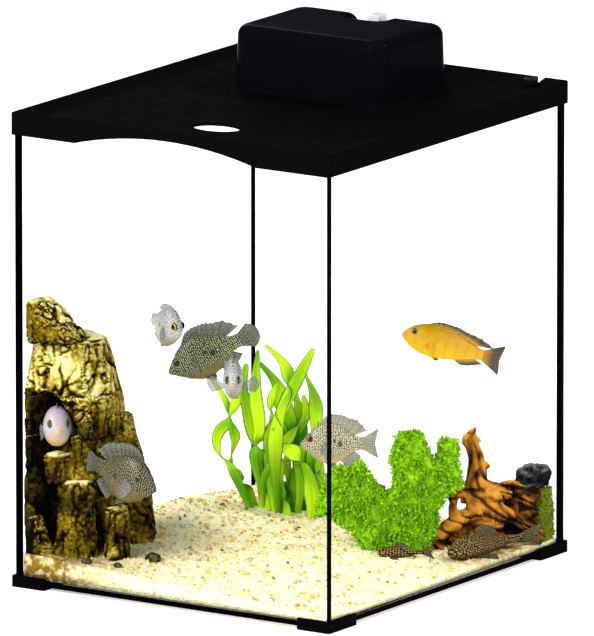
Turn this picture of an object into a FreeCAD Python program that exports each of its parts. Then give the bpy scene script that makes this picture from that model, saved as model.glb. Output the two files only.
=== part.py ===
import FreeCAD, Part
import math
import os

# Small glass aquarium under a moulded hood, with its aquascape and fish.
# Millimetres. +Z up, +X to the right, the front faces -Y.
# Origin: centre of the footprint, on the surface that the corner feet stand on.

V = FreeCAD.Vector
UP = V(0, 0, 1)

# ---- driving dimensions ------------------------------------------------------
hood_width = 300.0
hood_depth = 345.0
rim_top = 382.0            # highest rim of the hood above the table
hood_wall = 2.2
hood_gap = 0.55            # between the skirt and the glass, each side
skirt_height = 18.0
glass = 4.0                # thickness of every pane
bond = 0.4                 # silicone under the walls and over the cut edges
corner_bond = 0.5          # silicone between a side pane and the front or back pane
foot_floor = 2.4
foot_height = 9.3
foot_leg_x = 31.0
foot_leg_y = 40.0

recess_depth = 4.4         # the hood's top is a shallow dish
rim_land = 2.5
recess_slope = 17.0

housing_width = 144.0      # filter housing on the hood
housing_depth = 102.0
housing_x = 2.4
housing_y = 67.6
housing_corner = 16.0
housing_height = 51.2      # above the dish floor
band_height = 13.0         # lower band of the housing, under the cover's seam
cover_wall = 2.0
tub_width = 127.0
tub_depth = 87.0
tub_bottom = 346.0

# ---- values worked out from them ----------------------------------------------
tank_width = hood_width - 2 * (hood_wall + hood_gap)
tank_depth = hood_depth - 2 * (hood_wall + hood_gap)
half_w, half_d = tank_width / 2, tank_depth / 2
pane_floor = foot_floor + glass
wall_bottom = pane_floor + bond
dish_floor = rim_top - recess_depth
glass_top = dish_floor - hood_wall
skirt_bottom = rim_top - skirt_height
cover_top = dish_floor + housing_height
seam = dish_floor + band_height
inside_w, inside_d = half_w - glass, half_d - glass

os.makedirs("parts", exist_ok=True)


def save(shape, node):
    shape.exportStep(f"parts/{node}.step")


def box(x0, x1, y0, y1, z0, z1):
    return Part.makeBox(x1 - x0, y1 - y0, z1 - z0, V(x0, y0, z0))


def rounded_wire(width, depth, radius, z, cx=0.0, cy=0.0):
    """Rectangle with round corners, in a level plane."""
    x0, x1 = cx - width / 2, cx + width / 2
    y0, y1 = cy - depth / 2, cy + depth / 2
    edges = []
    corners = [(x1 - radius, y0 + radius, -90), (x1 - radius, y1 - radius, 0),
               (x0 + radius, y1 - radius, 90), (x0 + radius, y0 + radius, 180)]
    ends = []
    for px, py, start in corners:
        arc = Part.makeCircle(radius, V(px, py, z), UP, start, start + 90)
        ends.append((arc.Vertexes[0].Point, arc.Vertexes[-1].Point))
        edges.append(arc)
    for i in range(4):
        edges.append(Part.makeLine(ends[i][1], ends[(i + 1) % 4][0]))
    return Part.Wire(Part.__sortEdges__(edges))


def rounded_prism(width, depth, radius, z0, z1, cx=0.0, cy=0.0):
    return Part.Face(rounded_wire(width, depth, radius, z0, cx, cy)).extrude(V(0, 0, z1 - z0))


def cylinder(radius, z0, z1, cx, cy):
    return Part.makeCylinder(radius, z1 - z0, V(cx, cy, z0), UP)


def fuse(shapes):
    solid = shapes[0]
    for other in shapes[1:]:
        solid = solid.fuse(other)
    return solid.removeSplitter()


def edges_at(shape, z, test=lambda edge: True):
    """Edges that lie wholly at one height."""
    return [e for e in shape.Edges
            if abs(e.BoundBox.ZMin - z) < 0.01 and abs(e.BoundBox.ZMax - z) < 0.01 and test(e)]


def group(shapes):
    return Part.makeCompound(shapes)


# ---- glass tank ------------------------------------------------------------
def tank():
    face_half = half_w - bond
    save(box(-face_half, face_half, -half_d + bond, half_d - bond, foot_floor, pane_floor),
         "bottom_glass")
    save(box(-face_half, face_half, -half_d, -half_d + glass, wall_bottom, glass_top),
         "front_glass")
    save(box(-face_half, face_half, half_d - glass, half_d, wall_bottom, glass_top),
         "back_glass")
    reach = inside_d - corner_bond
    save(box(-half_w, -inside_w, -reach, reach, wall_bottom, glass_top), "left_glass")
    save(box(inside_w, half_w, -reach, reach, wall_bottom, glass_top), "right_glass")


def silicone():
    """Black bonds: a skin over each cut edge, and a bead between the panes."""
    for side, sx in (("left", -1), ("right", 1)):
        for end, sy in (("front", -1), ("back", 1)):
            xs = sorted((sx * (half_w - bond), sx * half_w))
            ys = sorted((sy * (inside_d - corner_bond), sy * half_d))
            skin = box(xs[0], xs[1], ys[0], ys[1], wall_bottom, glass_top)
            xs = sorted((sx * inside_w, sx * half_w))
            ys = sorted((sy * (inside_d - corner_bond), sy * inside_d))
            line = box(xs[0], xs[1], ys[0], ys[1], wall_bottom, glass_top)
            save(fuse([skin, line]), f"corner_seal_{end}_{side}")
    skin = box(-half_w, half_w, -half_d, half_d, foot_floor, wall_bottom)
    skin = skin.cut(box(-half_w + bond, half_w - bond, -half_d + bond, half_d - bond,
                        foot_floor, pane_floor))
    skin = skin.cut(box(-inside_w, inside_w, -inside_d, inside_d, pane_floor, wall_bottom))
    save(skin, "base_seal")


def feet():
    for side, sx in (("left", -1), ("right", 1)):
        for end, sy in (("front", -1), ("back", 1)):
            cx = sx * (hood_width / 2 - foot_leg_x / 2)
            cy = sy * (hood_depth / 2 - foot_leg_y / 2)
            foot = rounded_prism(foot_leg_x, foot_leg_y, 1.6, 0.0, foot_height, cx, cy)
            foot = foot.makeFillet(0.7, edges_at(foot, foot_height))
            foot = foot.cut(box(-half_w, half_w, -half_d, half_d, foot_floor, foot_height + 1))
            save(foot, f"corner_foot_{end}_{side}")


# ---- hood ------------------------------------------------------------------
feed_x, feed_y = 6.0, -114.0       # oval feeding hole
feed_rx, feed_ry = 20.2, 13.8
wave_x, wave_rise, wave_chord = -4.0, 11.3, 170.6   # arched cut in the front skirt
button_x, button_y = 126.0, 154.0
button_radius = 5.5
notch_x, notch_width = 124.5, 7.6
lamp_y, lamp_width, lamp_depth = -20.0, 190.0, 36.0
boss_height = 6.0
boss_at = [(sx * 84.0, lamp_y + sy * 23.5) for sx in (-1, 1) for sy in (-1, 1)]
box_screw_at = [(housing_x + sx * 55.0, housing_y + sy * 45.8) for sx in (-1, 1) for sy in (-1, 1)]
ledge_width, ledge_depth = 128.0, 88.0


def ellipse_wire(rx, ry, z):
    curve = Part.Ellipse(V(feed_x, feed_y, z), rx, ry)
    return Part.Wire(curve.toShape())


def hood():
    outer = rounded_prism(hood_width, hood_depth, 3.0, skirt_bottom, rim_top)
    outer = outer.makeFillet(1.2, edges_at(outer, rim_top))
    above = 0.5
    spread = recess_slope / recess_depth * above
    dish = Part.makeLoft([
        rounded_wire(hood_width - 2 * rim_land + 2 * spread,
                     hood_depth - 2 * rim_land + 2 * spread, 4.0, rim_top + above),
        rounded_wire(hood_width - 2 * (rim_land + recess_slope),
                     hood_depth - 2 * (rim_land + recess_slope), 8.0, dish_floor)], True, True)
    shell = outer.cut(dish)
    collar = rounded_prism(housing_width + 2.2, housing_depth + 2.2, housing_corner + 1.1,
                           dish_floor - 1.0, dish_floor + 4.5, housing_x, housing_y)
    shell = shell.fuse(collar).removeSplitter()
    foot_of_collar = edges_at(shell, dish_floor, lambda e: abs(e.BoundBox.XMax) < 80
                              and abs(e.BoundBox.XMin) < 80)
    shell = shell.makeFillet(4.0, foot_of_collar)
    shell = shell.cut(rounded_prism(housing_width + 0.6, housing_depth + 0.6,
                                    housing_corner + 0.3, dish_floor, rim_top + 5, housing_x, housing_y))
    shell = shell.cut(rounded_prism(tank_width + 2 * hood_gap, tank_depth + 2 * hood_gap, 1.5,
                                    skirt_bottom - 1, glass_top))
    shell = shell.cut(rounded_prism(ledge_width, ledge_depth, 10.0, glass_top - 1,
                                    rim_top, housing_x, housing_y))
    wave_radius = ((wave_chord / 2) ** 2 + wave_rise ** 2) / (2 * wave_rise)
    wave = Part.makeCylinder(wave_radius, 12.0,
                             V(wave_x, -hood_depth / 2 - 6, skirt_bottom + wave_rise - wave_radius),
                             V(0, 1, 0))
    shell = shell.cut(wave)
    shell = shell.cut(Part.Face(ellipse_wire(feed_rx, feed_ry, glass_top - 1))
                      .extrude(V(0, 0, hood_wall + 3)))
    shell = shell.cut(Part.makeLoft([ellipse_wire(feed_rx, feed_ry, dish_floor - 0.8),
                                     ellipse_wire(feed_rx + 1.0, feed_ry + 1.0, dish_floor + 0.2)],
                                    True, True))
    # pocket for the lamp button, and the cable notch beside it through the back rim
    shell = shell.cut(cylinder(button_radius + 1.3, dish_floor, rim_top + 1, button_x, button_y))
    shell = shell.cut(cylinder(2.3, glass_top - 1, dish_floor + 1, button_x, button_y))
    slot = box(notch_x - notch_width / 2, notch_x + notch_width / 2, button_y, hood_depth / 2 + 1,
               dish_floor, rim_top + 1)
    low = Part.makeCylinder(notch_width / 2, hood_depth / 2 + 1 - 168.5,
                            V(notch_x, 168.5, dish_floor), V(0, 1, 0))
    shell = shell.cut(slot).cut(low)
    bosses = []
    for x, y in boss_at:
        post = cylinder(3.6, glass_top - boss_height, glass_top, x, y)
        bosses.append(post)
    shell = fuse([shell] + bosses)
    for x, y in boss_at:
        shell = shell.cut(cylinder(1.5, glass_top - boss_height - 1, glass_top, x, y))
    for x, y in box_screw_at:
        shell = shell.cut(cylinder(1.52, glass_top - 1, dish_floor + 1, x, y))
    save(shell, "hood_shell")


def lamp():
    top = glass_top - boss_height
    tray = rounded_prism(lamp_width, lamp_depth, 4.0, top - 9.0, top, 0, lamp_y)
    ears = [rounded_prism(12, 12, 4.0, top - 2.4, top, x, y) for x, y in boss_at]
    tray = fuse([tray] + ears)
    tray = tray.cut(rounded_prism(lamp_width - 3, lamp_depth - 3, 3.0, top - 10, top - 1.5,
                                  0, lamp_y))
    for x, y in boss_at:
        tray = tray.cut(cylinder(1.7, top - 4, top + 1, x, y))
    save(tray, "lamp_tray")
    save(rounded_prism(lamp_width - 4, lamp_depth - 6, 2.0, top - 3.1, top - 1.5, 0, lamp_y),
         "lamp_board")
    chips = [box(x - 1.4, x + 1.4, y - 1.4, y + 1.4, top - 3.9, top - 3.1)
             for x in [-84 + 12 * i for i in range(15)]
             for y in (lamp_y - 9, lamp_y, lamp_y + 9)]
    save(group(chips), "lamp_chips")
    save(rounded_prism(lamp_width - 3.2, lamp_depth - 3.2, 2.9, top - 9.0, top - 7.4, 0, lamp_y),
         "lamp_lens")


# ---- filter in the hood ------------------------------------------------------
pump_x, pump_y = 37.0, housing_y
divider_x = 7.0


def filter_box():
    band = rounded_prism(housing_width, housing_depth, housing_corner, dish_floor, seam,
                         housing_x, housing_y)
    band = band.cut(rounded_prism(housing_width - 5, housing_depth - 5, housing_corner - 2.5,
                                  dish_floor + 2.4, seam + 1, housing_x, housing_y))
    tub = rounded_prism(tub_width, tub_depth, 9.5, tub_bottom, dish_floor + 2.4, housing_x, housing_y)
    tray = fuse([band, tub])
    tray = tray.cut(rounded_prism(tub_width - 4, tub_depth - 4, 7.5, tub_bottom + 2, seam + 1,
                                  housing_x, housing_y))
    wall = box(divider_x - 1, divider_x + 1, housing_y - tub_depth / 2 + 1,
               housing_y + tub_depth / 2 - 1, tub_bottom + 1, dish_floor + 6)
    tray = fuse([tray, wall])
    # the pump's outlet passes the divider, and the sponge side drains through floor slots
    tray = tray.cut(box(divider_x - 2, divider_x + 2, pump_y - 7, pump_y + 7,
                        tub_bottom + 26, dish_floor + 7))
    for i in range(5):
        y = housing_y - 28 + 14 * i
        tray = tray.cut(box(-52, -8, y - 2.2, y + 2.2, tub_bottom - 1, tub_bottom + 3))
    tray = tray.cut(cylinder(7.1, tub_bottom - 1, tub_bottom + 3, pump_x, pump_y))
    for x, y in box_screw_at:
        tray = tray.cut(cylinder(1.7, dish_floor - 1, dish_floor + 3, x, y))
    save(tray, "filter_box")


def screw(x, y, top, length, head):
    """Pan-head screw with a slot, pointing down from under its head, or up if length < 0."""
    way = 1 if length > 0 else -1
    shank = cylinder(1.48, min(top, top - length), max(top, top - length), x, y)
    cap = cylinder(head, min(top, top + way * 1.9), max(top, top + way * 1.9), x, y)
    slot = box(x - head * 0.8, x + head * 0.8, y - 0.35, y + 0.35,
               *sorted((top + way * 1.1, top + way * 2.5)))
    return fuse([shank, cap.cut(slot)])


def hood_screws():
    screws = [screw(x, y, glass_top - boss_height - 2.4, -7.5, 2.8) for x, y in boss_at]
    screws += [screw(x, y, dish_floor + 2.4, 7.1, 2.4) for x, y in box_screw_at]
    save(group(screws), "hood_screws")


def filter_media():
    z = tub_bottom + 2
    x0, x1 = housing_x - tub_width / 2 + 3, divider_x - 2
    y0, y1 = housing_y - tub_depth / 2 + 3, housing_y + tub_depth / 2 - 3
    cx, cy = (x0 + x1) / 2, (y0 + y1) / 2
    grid = rounded_prism(x1 - x0, y1 - y0, 6.0, z, z + 3, cx, cy)
    for i in range(7):
        for k in range(9):
            px, py = cx - 24 + 8 * i, cy - 34 + 8.5 * k
            grid = grid.cut(box(px - 2.6, px + 2.6, py - 2.8, py + 2.8, z - 1, z + 4))
    save(grid, "sponge_grid")
    save(rounded_prism(x1 - x0 - 1, y1 - y0 - 1, 6.0, z + 3, z + 30, cx, cy), "filter_sponge")


impeller_blades = 6


def pump():
    floor = tub_bottom + 2
    body_bottom = floor + 8
    body = rounded_prism(44, 46, 6.0, body_bottom, body_bottom + 27, pump_x, pump_y)
    body = body.makeFillet(2.0, edges_at(body, body_bottom + 27))
    body = body.cut(cylinder(8.6, body_bottom - 1, body_bottom + 22, pump_x, pump_y))
    body = body.cut(cylinder(1.0, body_bottom + 21, body_bottom + 24, pump_x, pump_y))
    save(body, "pump_body")
    volute = rounded_prism(44, 46, 6.0, floor, body_bottom, pump_x, pump_y)
    volute = volute.cut(cylinder(14.0, floor + 1.6, body_bottom + 1, pump_x, pump_y))
    volute = volute.cut(cylinder(5.0, floor - 1, floor + 2, pump_x, pump_y))
    volute = volute.cut(box(pump_x - 23, pump_x - 8, pump_y + 8, pump_y + 13.5,
                            floor + 1.6, body_bottom + 1))
    save(volute, "pump_volute")
    rotor = cylinder(7.9, body_bottom + 0.8, body_bottom + 21, pump_x, pump_y)
    hub = cylinder(4.0, floor + 2.6, body_bottom + 0.8, pump_x, pump_y)
    disc = cylinder(7.9, body_bottom - 0.6, body_bottom + 0.8, pump_x, pump_y)
    blades = []
    for i in range(impeller_blades):
        blade = box(pump_x + 2, pump_x + 12.6, pump_y - 0.6, pump_y + 0.6, floor + 2.6,
                    body_bottom - 0.6)
        blade.rotate(V(pump_x, pump_y, 0), UP, 360 / impeller_blades * i)
        blades.append(blade)
    rotor = fuse([rotor, disc, hub] + blades)
    rotor = rotor.cut(cylinder(1.06, floor, body_bottom + 22, pump_x, pump_y))
    save(rotor, "impeller")
    save(cylinder(1.0, floor + 2.0, body_bottom + 24, pump_x, pump_y), "impeller_shaft")
    tube = cylinder(7.0, tub_bottom - 12, floor, pump_x, pump_y)
    tube = fuse([tube, cylinder(9.5, tub_bottom - 2, tub_bottom, pump_x, pump_y)])
    tube = tube.cut(cylinder(5.0, tub_bottom - 13, floor + 1, pump_x, pump_y))
    save(tube, "intake_tube")
    low = tub_bottom - 19
    cage = cylinder(10.0, low, tub_bottom - 5, pump_x, pump_y)
    cage = cage.cut(cylinder(8.4, low + 1.6, tub_bottom - 8, pump_x, pump_y))
    cage = cage.cut(cylinder(7.05, low + 2, tub_bottom - 4, pump_x, pump_y))
    for i in range(4):
        slit = box(pump_x - 11, pump_x + 11, pump_y - 0.9, pump_y + 0.9, low + 2.5,
                   tub_bottom - 9)
        slit.rotate(V(pump_x, pump_y, 0), UP, 45 * i + 22.5)
        cage = cage.cut(slit)
    save(cage, "intake_strainer")


# ---- housing cover with its switch ---------------------------------------------
switch_notch = (-11.2, 18.6)       # across, between the notch's side walls
switch_notch_front = 98.2
switch_notch_floor = cover_top - 12.0
draft = 1.3                        # the cover narrows by this each side towards its top
switch_x, switch_y = 10.9, 108.2
boot_top = cover_top + 2.1


def cover_form(inset, bottom, top, edge_radius):
    """The cover's outside, or with an inset its inside."""
    lower = rounded_wire(housing_width - 2 * inset, housing_depth - 2 * inset,
                         housing_corner - inset, bottom, housing_x, housing_y)
    narrow = draft + inset
    upper = rounded_wire(housing_width - 2 * narrow, housing_depth - 2 * narrow,
                         housing_corner - narrow, top, housing_x, housing_y)
    form = Part.makeLoft([lower, upper], True, True)
    x0, x1 = switch_notch[0] - inset, switch_notch[1] + inset
    back = housing_y + housing_depth / 2 + 5
    notch = box(x0, x1, switch_notch_front - inset, back, switch_notch_floor - inset, top + 5)
    notch = notch.makeFillet(4.0, [e for e in notch.Edges
                                   if e.BoundBox.ZLength > 5
                                   and e.BoundBox.YMax < switch_notch_front + 1])
    form = form.cut(notch)
    posts = [e for e in form.Edges
             if e.BoundBox.ZLength > 8 and e.BoundBox.XLength < 1.5 and e.BoundBox.YLength < 1.5
             and e.BoundBox.YMin > housing_y + housing_depth / 2 - 8
             and x0 - 1 < e.BoundBox.XMin and e.BoundBox.XMax < x1 + 1]
    form = form.makeFillet(5.0, posts)
    return form.makeFillet(edge_radius, edges_at(form, top))


def cover():
    outer = cover_form(0.0, seam + 0.25, cover_top, 9.0)
    inner = cover_form(cover_wall, seam + 0.2, cover_top - cover_wall, 7.0)
    shell = outer.cut(inner)
    rib_out = rounded_prism(housing_width - 5.8, housing_depth - 5.8, housing_corner - 2.9,
                            seam - 3.0, seam + 3.0, housing_x, housing_y)
    rib_in = rounded_prism(housing_width - 8.4, housing_depth - 8.4, housing_corner - 4.2,
                           seam - 4.0, seam + 4.0, housing_x, housing_y)
    rib = rib_out.cut(rib_in)
    ledge = rounded_prism(housing_width - 3.0, housing_depth - 3.0, housing_corner - 1.5,
                          seam + 1.0, seam + 3.0, housing_x, housing_y).cut(rib_in)
    shell = fuse([shell, rib, ledge])
    shell = shell.cut(box(switch_x - 4.3, switch_x + 4.3, switch_y - 5.8, switch_y + 5.8,
                          switch_notch_floor - 4, switch_notch_floor + 1))
    save(shell, "pump_cover")


rocker_tilt = 7.0                 # the rocker rests tipped one way by this, in degrees
pin_radius = 0.7


def switch():
    z = switch_notch_floor
    body = box(switch_x - 4.2, switch_x + 4.2, switch_y - 5.7, switch_y + 5.7, z - 12, z)
    bezel = box(switch_x - 5.2, switch_x + 5.2, switch_y - 6.75, switch_y + 6.75, z, z + 1.6)
    body = fuse([body, bezel])
    body = body.cut(box(switch_x - 3.6, switch_x + 3.6, switch_y - 5.2, switch_y + 5.2,
                        z - 4.5, z + 2))
    for i in (-1, 0, 1):
        body = fuse([body, box(switch_x - 1.4, switch_x + 1.4, switch_y + 3.6 * i - 0.4,
                               switch_y + 3.6 * i + 0.4, z - 16.5, z - 12)])
    pivot = V(switch_x, switch_y, z + 0.7)
    body = body.cut(Part.makeCylinder(pin_radius + 0.06, 8.8, pivot - V(4.4, 0, 0), V(1, 0, 0)))
    save(body, "switch_body")
    rocker = box(switch_x - 3.4, switch_x + 3.4, switch_y - 4.4, switch_y + 4.4, z - 1.4, z + 4.6)
    scoop = Part.makeCylinder(16.0, 10.0, V(switch_x - 5, switch_y, z + 19.6), V(1, 0, 0))
    pin = Part.makeCylinder(pin_radius, 8.2, pivot - V(4.1, 0, 0), V(1, 0, 0))
    rocker = fuse([rocker.cut(scoop), pin])
    rocker.rotate(pivot, V(1, 0, 0), -rocker_tilt)
    save(rocker, "switch_rocker")
    boot = rounded_prism(10.4, 13.5, 0.9, z + 1.6, boot_top, switch_x, switch_y)
    boot = boot.makeFillet(0.7, edges_at(boot, boot_top))
    boot = boot.cut(rounded_prism(9.0, 12.1, 0.5, z + 1.5, boot_top - 0.9, switch_x, switch_y))
    save(boot, "switch_boot")


def lamp_button():
    cap = cylinder(button_radius, dish_floor + 2.4, rim_top + 2.1, button_x, button_y)
    cap = cap.makeFillet(0.9, edges_at(cap, rim_top + 2.1))
    stem = cylinder(2.2, glass_top - 1.5, dish_floor + 2.4, button_x, button_y)
    save(fuse([cap, stem]), "lamp_button")
    case = rounded_prism(16, 14, 1.5, glass_top - 9, glass_top, button_x, button_y - 2)
    case = case.cut(cylinder(2.6, glass_top - 5.5, glass_top + 1, button_x, button_y))
    save(case, "lamp_switch_case")


# ---- aquascape --------------------------------------------------------------
# The plants fan out, and two limbs run, along a level line turned by this much from +X.
spread_turn = 33.44
ALONG = V(math.cos(math.radians(spread_turn)), math.sin(math.radians(spread_turn)), 0)
BEHIND = V(-ALONG.y, ALONG.x, 0)


def place(across, behind, z):
    """Point at a distance along the spread line, and behind it."""
    return ALONG * across + BEHIND * behind + UP * z


def sand_height(x, y):
    """Top of the sand: deep at the front left, a low mound behind, thin at the right."""
    left = (0.5 - x / (2 * inside_w)) * (0.62 - 0.22 * y / inside_d)
    mound = math.exp(-((x + 120) / 62) ** 2 - ((y - 45) / 70) ** 2)
    return pane_floor + 5.0 + 19.0 * left + 9.0 * mound


def sand_bed():
    gap = 0.25
    sections = []
    steps = 7
    for j in range(steps):
        y = -inside_d + gap + (2 * (inside_d - gap)) * j / (steps - 1)
        xs = [-inside_w + gap + (2 * (inside_w - gap)) * i / 8 for i in range(9)]
        curve = Part.BSplineCurve()
        curve.interpolate([V(x, y, sand_height(x, y)) for x in xs])
        top = curve.toShape()
        a, b = V(xs[0], y, pane_floor), V(xs[-1], y, pane_floor)
        sections.append(Part.Wire([Part.makeLine(a, b),
                                   Part.makeLine(b, top.Vertexes[-1].Point), top,
                                   Part.makeLine(top.Vertexes[0].Point, a)]))
    return Part.makeLoft(sections, True, False)


def block(levels):
    """Rough rock: flat-faced between outlines, each with its height and the same point count."""
    wires = []
    for z, outline in levels:
        points = [V(x, y, z) for x, y in outline]
        wires.append(Part.makePolygon(points + [points[0]]))
    return Part.makeLoft(wires, True, True)


def stone(cx, cy, levels, sides=7, seed=0.0):
    """Rounded rock: a many-sided outline at each level (z, x radius, y radius, x and y shift)."""
    outlines = []
    for z, rx, ry, dx, dy in levels:
        outline = []
        for i in range(sides):
            t = 2 * math.pi * (i + 0.5) / sides + 0.3 * math.sin(seed)
            grow = 1 + 0.1 * math.sin(2.3 * i + seed + 0.011 * z)
            outline.append((cx + dx + rx * grow * math.cos(t), cy + dy + ry * grow * math.sin(t)))
        outlines.append((z, outline))
    return block(outlines)


def clear_of(shape, others):
    """What is left of a shape outside its neighbours: its largest solid."""
    for other in others:
        if shape.BoundBox.intersect(other.BoundBox):
            shape = shape.cut(other)
    return max(shape.Solids, key=lambda solid: solid.Volume)


ledge_top = 120.0
main_top = 196.0
corner_x, corner_y = -141.6, -164.2      # the pile fills the tank's front left corner


def rocks():
    """Stacked rock pile with a cave in the front left corner."""
    base = pane_floor
    # bulging boulder: its front leans back above the bulge and is undercut below it
    main = block([
        (ledge_top, [(corner_x, -163.5), (-137, -152), (-90, -146), (-84, -128), (-88, -104),
                     (-120, -94), (-141, -103)]),
        (154.0, [(corner_x, corner_y), (-113, -163.6), (-89, -158), (-83, -131), (-89, -105),
                 (-121, -96), (-141, -104)]),
        (main_top, [(corner_x, -150), (-119, -147), (-102, -143), (-97, -129), (-101, -112),
                    (-122, -103), (-141, -110)])])
    cave = Part.makeCylinder(25.0, 54.0, V(-127, -170, 134), V(0.12, 1, 0))
    main = main.cut(cave.common(box(-139.6, -90, -175, -100, 100, 170)))
    top_slab = block([
        (main_top, [(corner_x, -160), (-123, -158), (-108, -150), (-104, -138), (-108, -122),
                    (-124, -114), (-141, -122)]),
        (211.0, [(corner_x, -162), (-128, -161), (-116, -155), (-114, -144), (-118, -131),
                 (-128, -127), (-141, -133)]),
        (228.5, [(corner_x, -162), (-137, -161), (-131, -157), (-129, -151), (-131, -145),
                 (-136, -143), (-141, -148)])])
    ledge = block([
        (84.0, [(-124, -159), (-115, -157), (-109, -146), (-101, -138), (-92, -131), (-93, -125),
                (-110, -120), (-124, -128)]),
        (104.0, [(-126, -160), (-116, -158), (-110, -146), (-101, -139), (-91, -131), (-92, -124),
                 (-110, -118), (-126, -126)]),
        (ledge_top, [(-124, -158), (-115, -157), (-109, -146), (-101, -138), (-91, -131),
                     (-92, -124), (-110, -118), (-124, -128)])])
    ledge = ledge.cut(box(-130, -109.5, -165, -110, 106.0, ledge_top + 1))
    front_column = block([
        (base, [(-121, -156), (-108, -154), (-97, -145), (-94, -133), (-106, -126), (-119, -133)]),
        (84.0, [(-118, -153), (-106, -152), (-98, -143), (-96, -135), (-107, -129),
                (-117, -134)])])
    right_column = block([
        (base, [(-88, -134), (-76, -136), (-70, -124), (-76, -112), (-88, -112)]),
        (62.0, [(-88, -130), (-79, -132), (-75, -123), (-79, -114), (-88, -114)])])
    side_slab = block([
        (base, [(-114, -84), (-96, -80), (-87, -64), (-95, -43), (-118, -36), (-138, -48)]),
        (70.0, [(-116, -84), (-101, -79), (-95, -66), (-103, -49), (-120, -42), (-138, -52)]),
        (123.0, [(-116, -81), (-111, -78), (-107, -69), (-112, -60), (-121, -55), (-132, -60)])])
    back_column = block([
        (base, [(-142, -164), (-138, -161), (-135, -124), (-102, -112), (-98, -92), (-122, -80),
                (-142, -92)]),
        (ledge_top, [(-142, -164), (-139.5, -161), (-138.5, -124), (-106, -112), (-100, -96),
                     (-124, -86), (-142, -96)])])
    foot = block([
        (base, [(corner_x, corner_y), (-124, -164), (-121, -152), (-126, -140), (-141, -138)]),
        (30.0, [(corner_x, corner_y), (-127, -164), (-124, -153), (-129, -143), (-141, -141)]),
        (54.0, [(corner_x, corner_y), (-134, -163), (-132, -157), (-135, -151), (-141, -149)])])
    made = {"rock_main": main, "rock_top_slab": top_slab, "rock_ledge": ledge,
            "rock_column_front": front_column, "rock_column_right": right_column,
            "rock_column_back": back_column, "rock_side_slab": side_slab, "rock_foot": foot}
    placed = {}
    for node, shape in made.items():
        placed[node] = clear_of(shape, list(placed.values()))
    return placed


def tapered(points, radii):
    """Round limb through points, as cones with balls at the bends."""
    pieces = []
    for i in range(len(points) - 1):
        a, b = points[i], points[i + 1]
        way = b - a
        if abs(radii[i] - radii[i + 1]) < 1e-6:
            pieces.append(Part.makeCylinder(radii[i], way.Length, a, way))
        else:
            pieces.append(Part.makeCone(radii[i], radii[i + 1], way.Length, a, way))
        if i:
            pieces.append(Part.makeSphere(radii[i] * 1.001, a))
    return fuse(pieces)


def driftwood():
    fork = place(150, 42, 46)
    limbs = [
        tapered([fork, place(148, 42, 66), place(144, 42, 90), place(145, 42, 105)],
                [13.0, 8.5, 6.5, 3.0]),                                    # upright
        tapered([place(144, 42, 92), place(136, 44, 88)], [6.0, 3.0]),     # knob on it
        tapered([fork, place(174, 50, 46), place(190, 50, 26)], [12.0, 10.0, 5.0]),
        tapered([fork, place(133, 34, 38), place(124, 24, 14)], [12.0, 9.0, 10.0]),
        tapered([fork, place(128, 34, 56), place(122, 32, 52)], [7.0, 5.0, 3.5]),
        tapered([fork, place(154, 34, 14)], [13.0, 12.0])]
    wood = fuse(limbs)
    return wood.common(box(60, inside_w - 1, -20, inside_d - 2, pane_floor, 130))


def lava_rock():
    """Dark rock in the back right corner, leaning over the moss."""
    return stone(114, 150, [(pane_floor, 13, 12, 0, 0), (46, 14, 12, 0, 0), (56, 15, 11, 13, 2),
                            (65, 12.5, 9, 15.5, 4), (71, 7, 6, 18, 5)], sides=8, seed=0.2)


def corner_moss():
    return stone(137.2, 157.0, [(pane_floor, 5.2, 7.2, 0, 0), (34, 5.2, 7.4, 0, 0),
                                (52, 3, 6, 1.0, 0)], sides=8, seed=1.0)


strap_at = (-3.0, 113.0)           # along the spread line and behind it
strap_leaves = [  # foot across, behind; tip across, behind; height; width
    (-25, 0, -60, 12, 118, 10), (-24, -6, -46, -4, 128, 8), (-14, -10, -36, -14, 130, 12),
    (-12, 6, -26, 4, 150, 13), (-4, -6, -12, -14, 142, 13), (-2, 8, -12, 16, 152, 13),
    (4, -2, 3, -2, 126, 12), (8, 10, 20, 14, 152, 11), (12, -10, 14, -14, 106, 11),
    (16, 2, 22, 4, 118, 10), (20, -4, 28, -6, 128, 9), (25, 6, 34, 12, 70, 9),
]


def strap_plant():
    leaves = []
    for foot_across, foot_behind, tip_across, tip_behind, height, width in strap_leaves:
        foot = place(strap_at[0] + foot_across, strap_at[1] + foot_behind, pane_floor + 3)
        tip = place(strap_at[0] + tip_across, strap_at[1] + tip_behind, pane_floor + height)
        across = ALONG * (width / 2)
        thick = BEHIND * 0.9
        outline = Part.makePolygon([foot - across - thick, foot + across - thick,
                                    tip + across * 0.5 - thick, tip - across * 0.5 - thick,
                                    foot - across - thick])
        leaves.append(Part.Face(outline).extrude(thick * 2))
    kept = []
    for leaf in leaves:
        kept.append(clear_of(leaf, kept))
    return kept


frond_behind = 10.0
frond_thickness = 16.0


def frond_plant():
    """Broad lobed plant, as one thick fan: points are (across, z), all round its outline."""
    outline = [(22, 44), (33, 78), (54, 84), (62, 72), (76, 56), (85, 64), (81, 88), (85, 104),
               (102, 107), (107, 92), (112, 80), (118, 88), (120, 101), (130, 100), (130, 85),
               (134, 66), (121, 60), (115, 45), (112, 28), (104, pane_floor),
               (68, pane_floor), (50, 30), (33, 42)]
    points = [place(across, frond_behind - frond_thickness / 2, z) for across, z in outline]
    return Part.Face(Part.makePolygon(points + [points[0]])).extrude(BEHIND * frond_thickness)


def pebbles():
    made = []
    for x, y, r in ((-88, -158, 4.5), (-56, -112, 6.5), (-64, -150, 3.6)):
        made.append(Part.makeSphere(r, V(x, y, sand_height(x, y) + 0.35 * r)))
    return made


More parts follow.
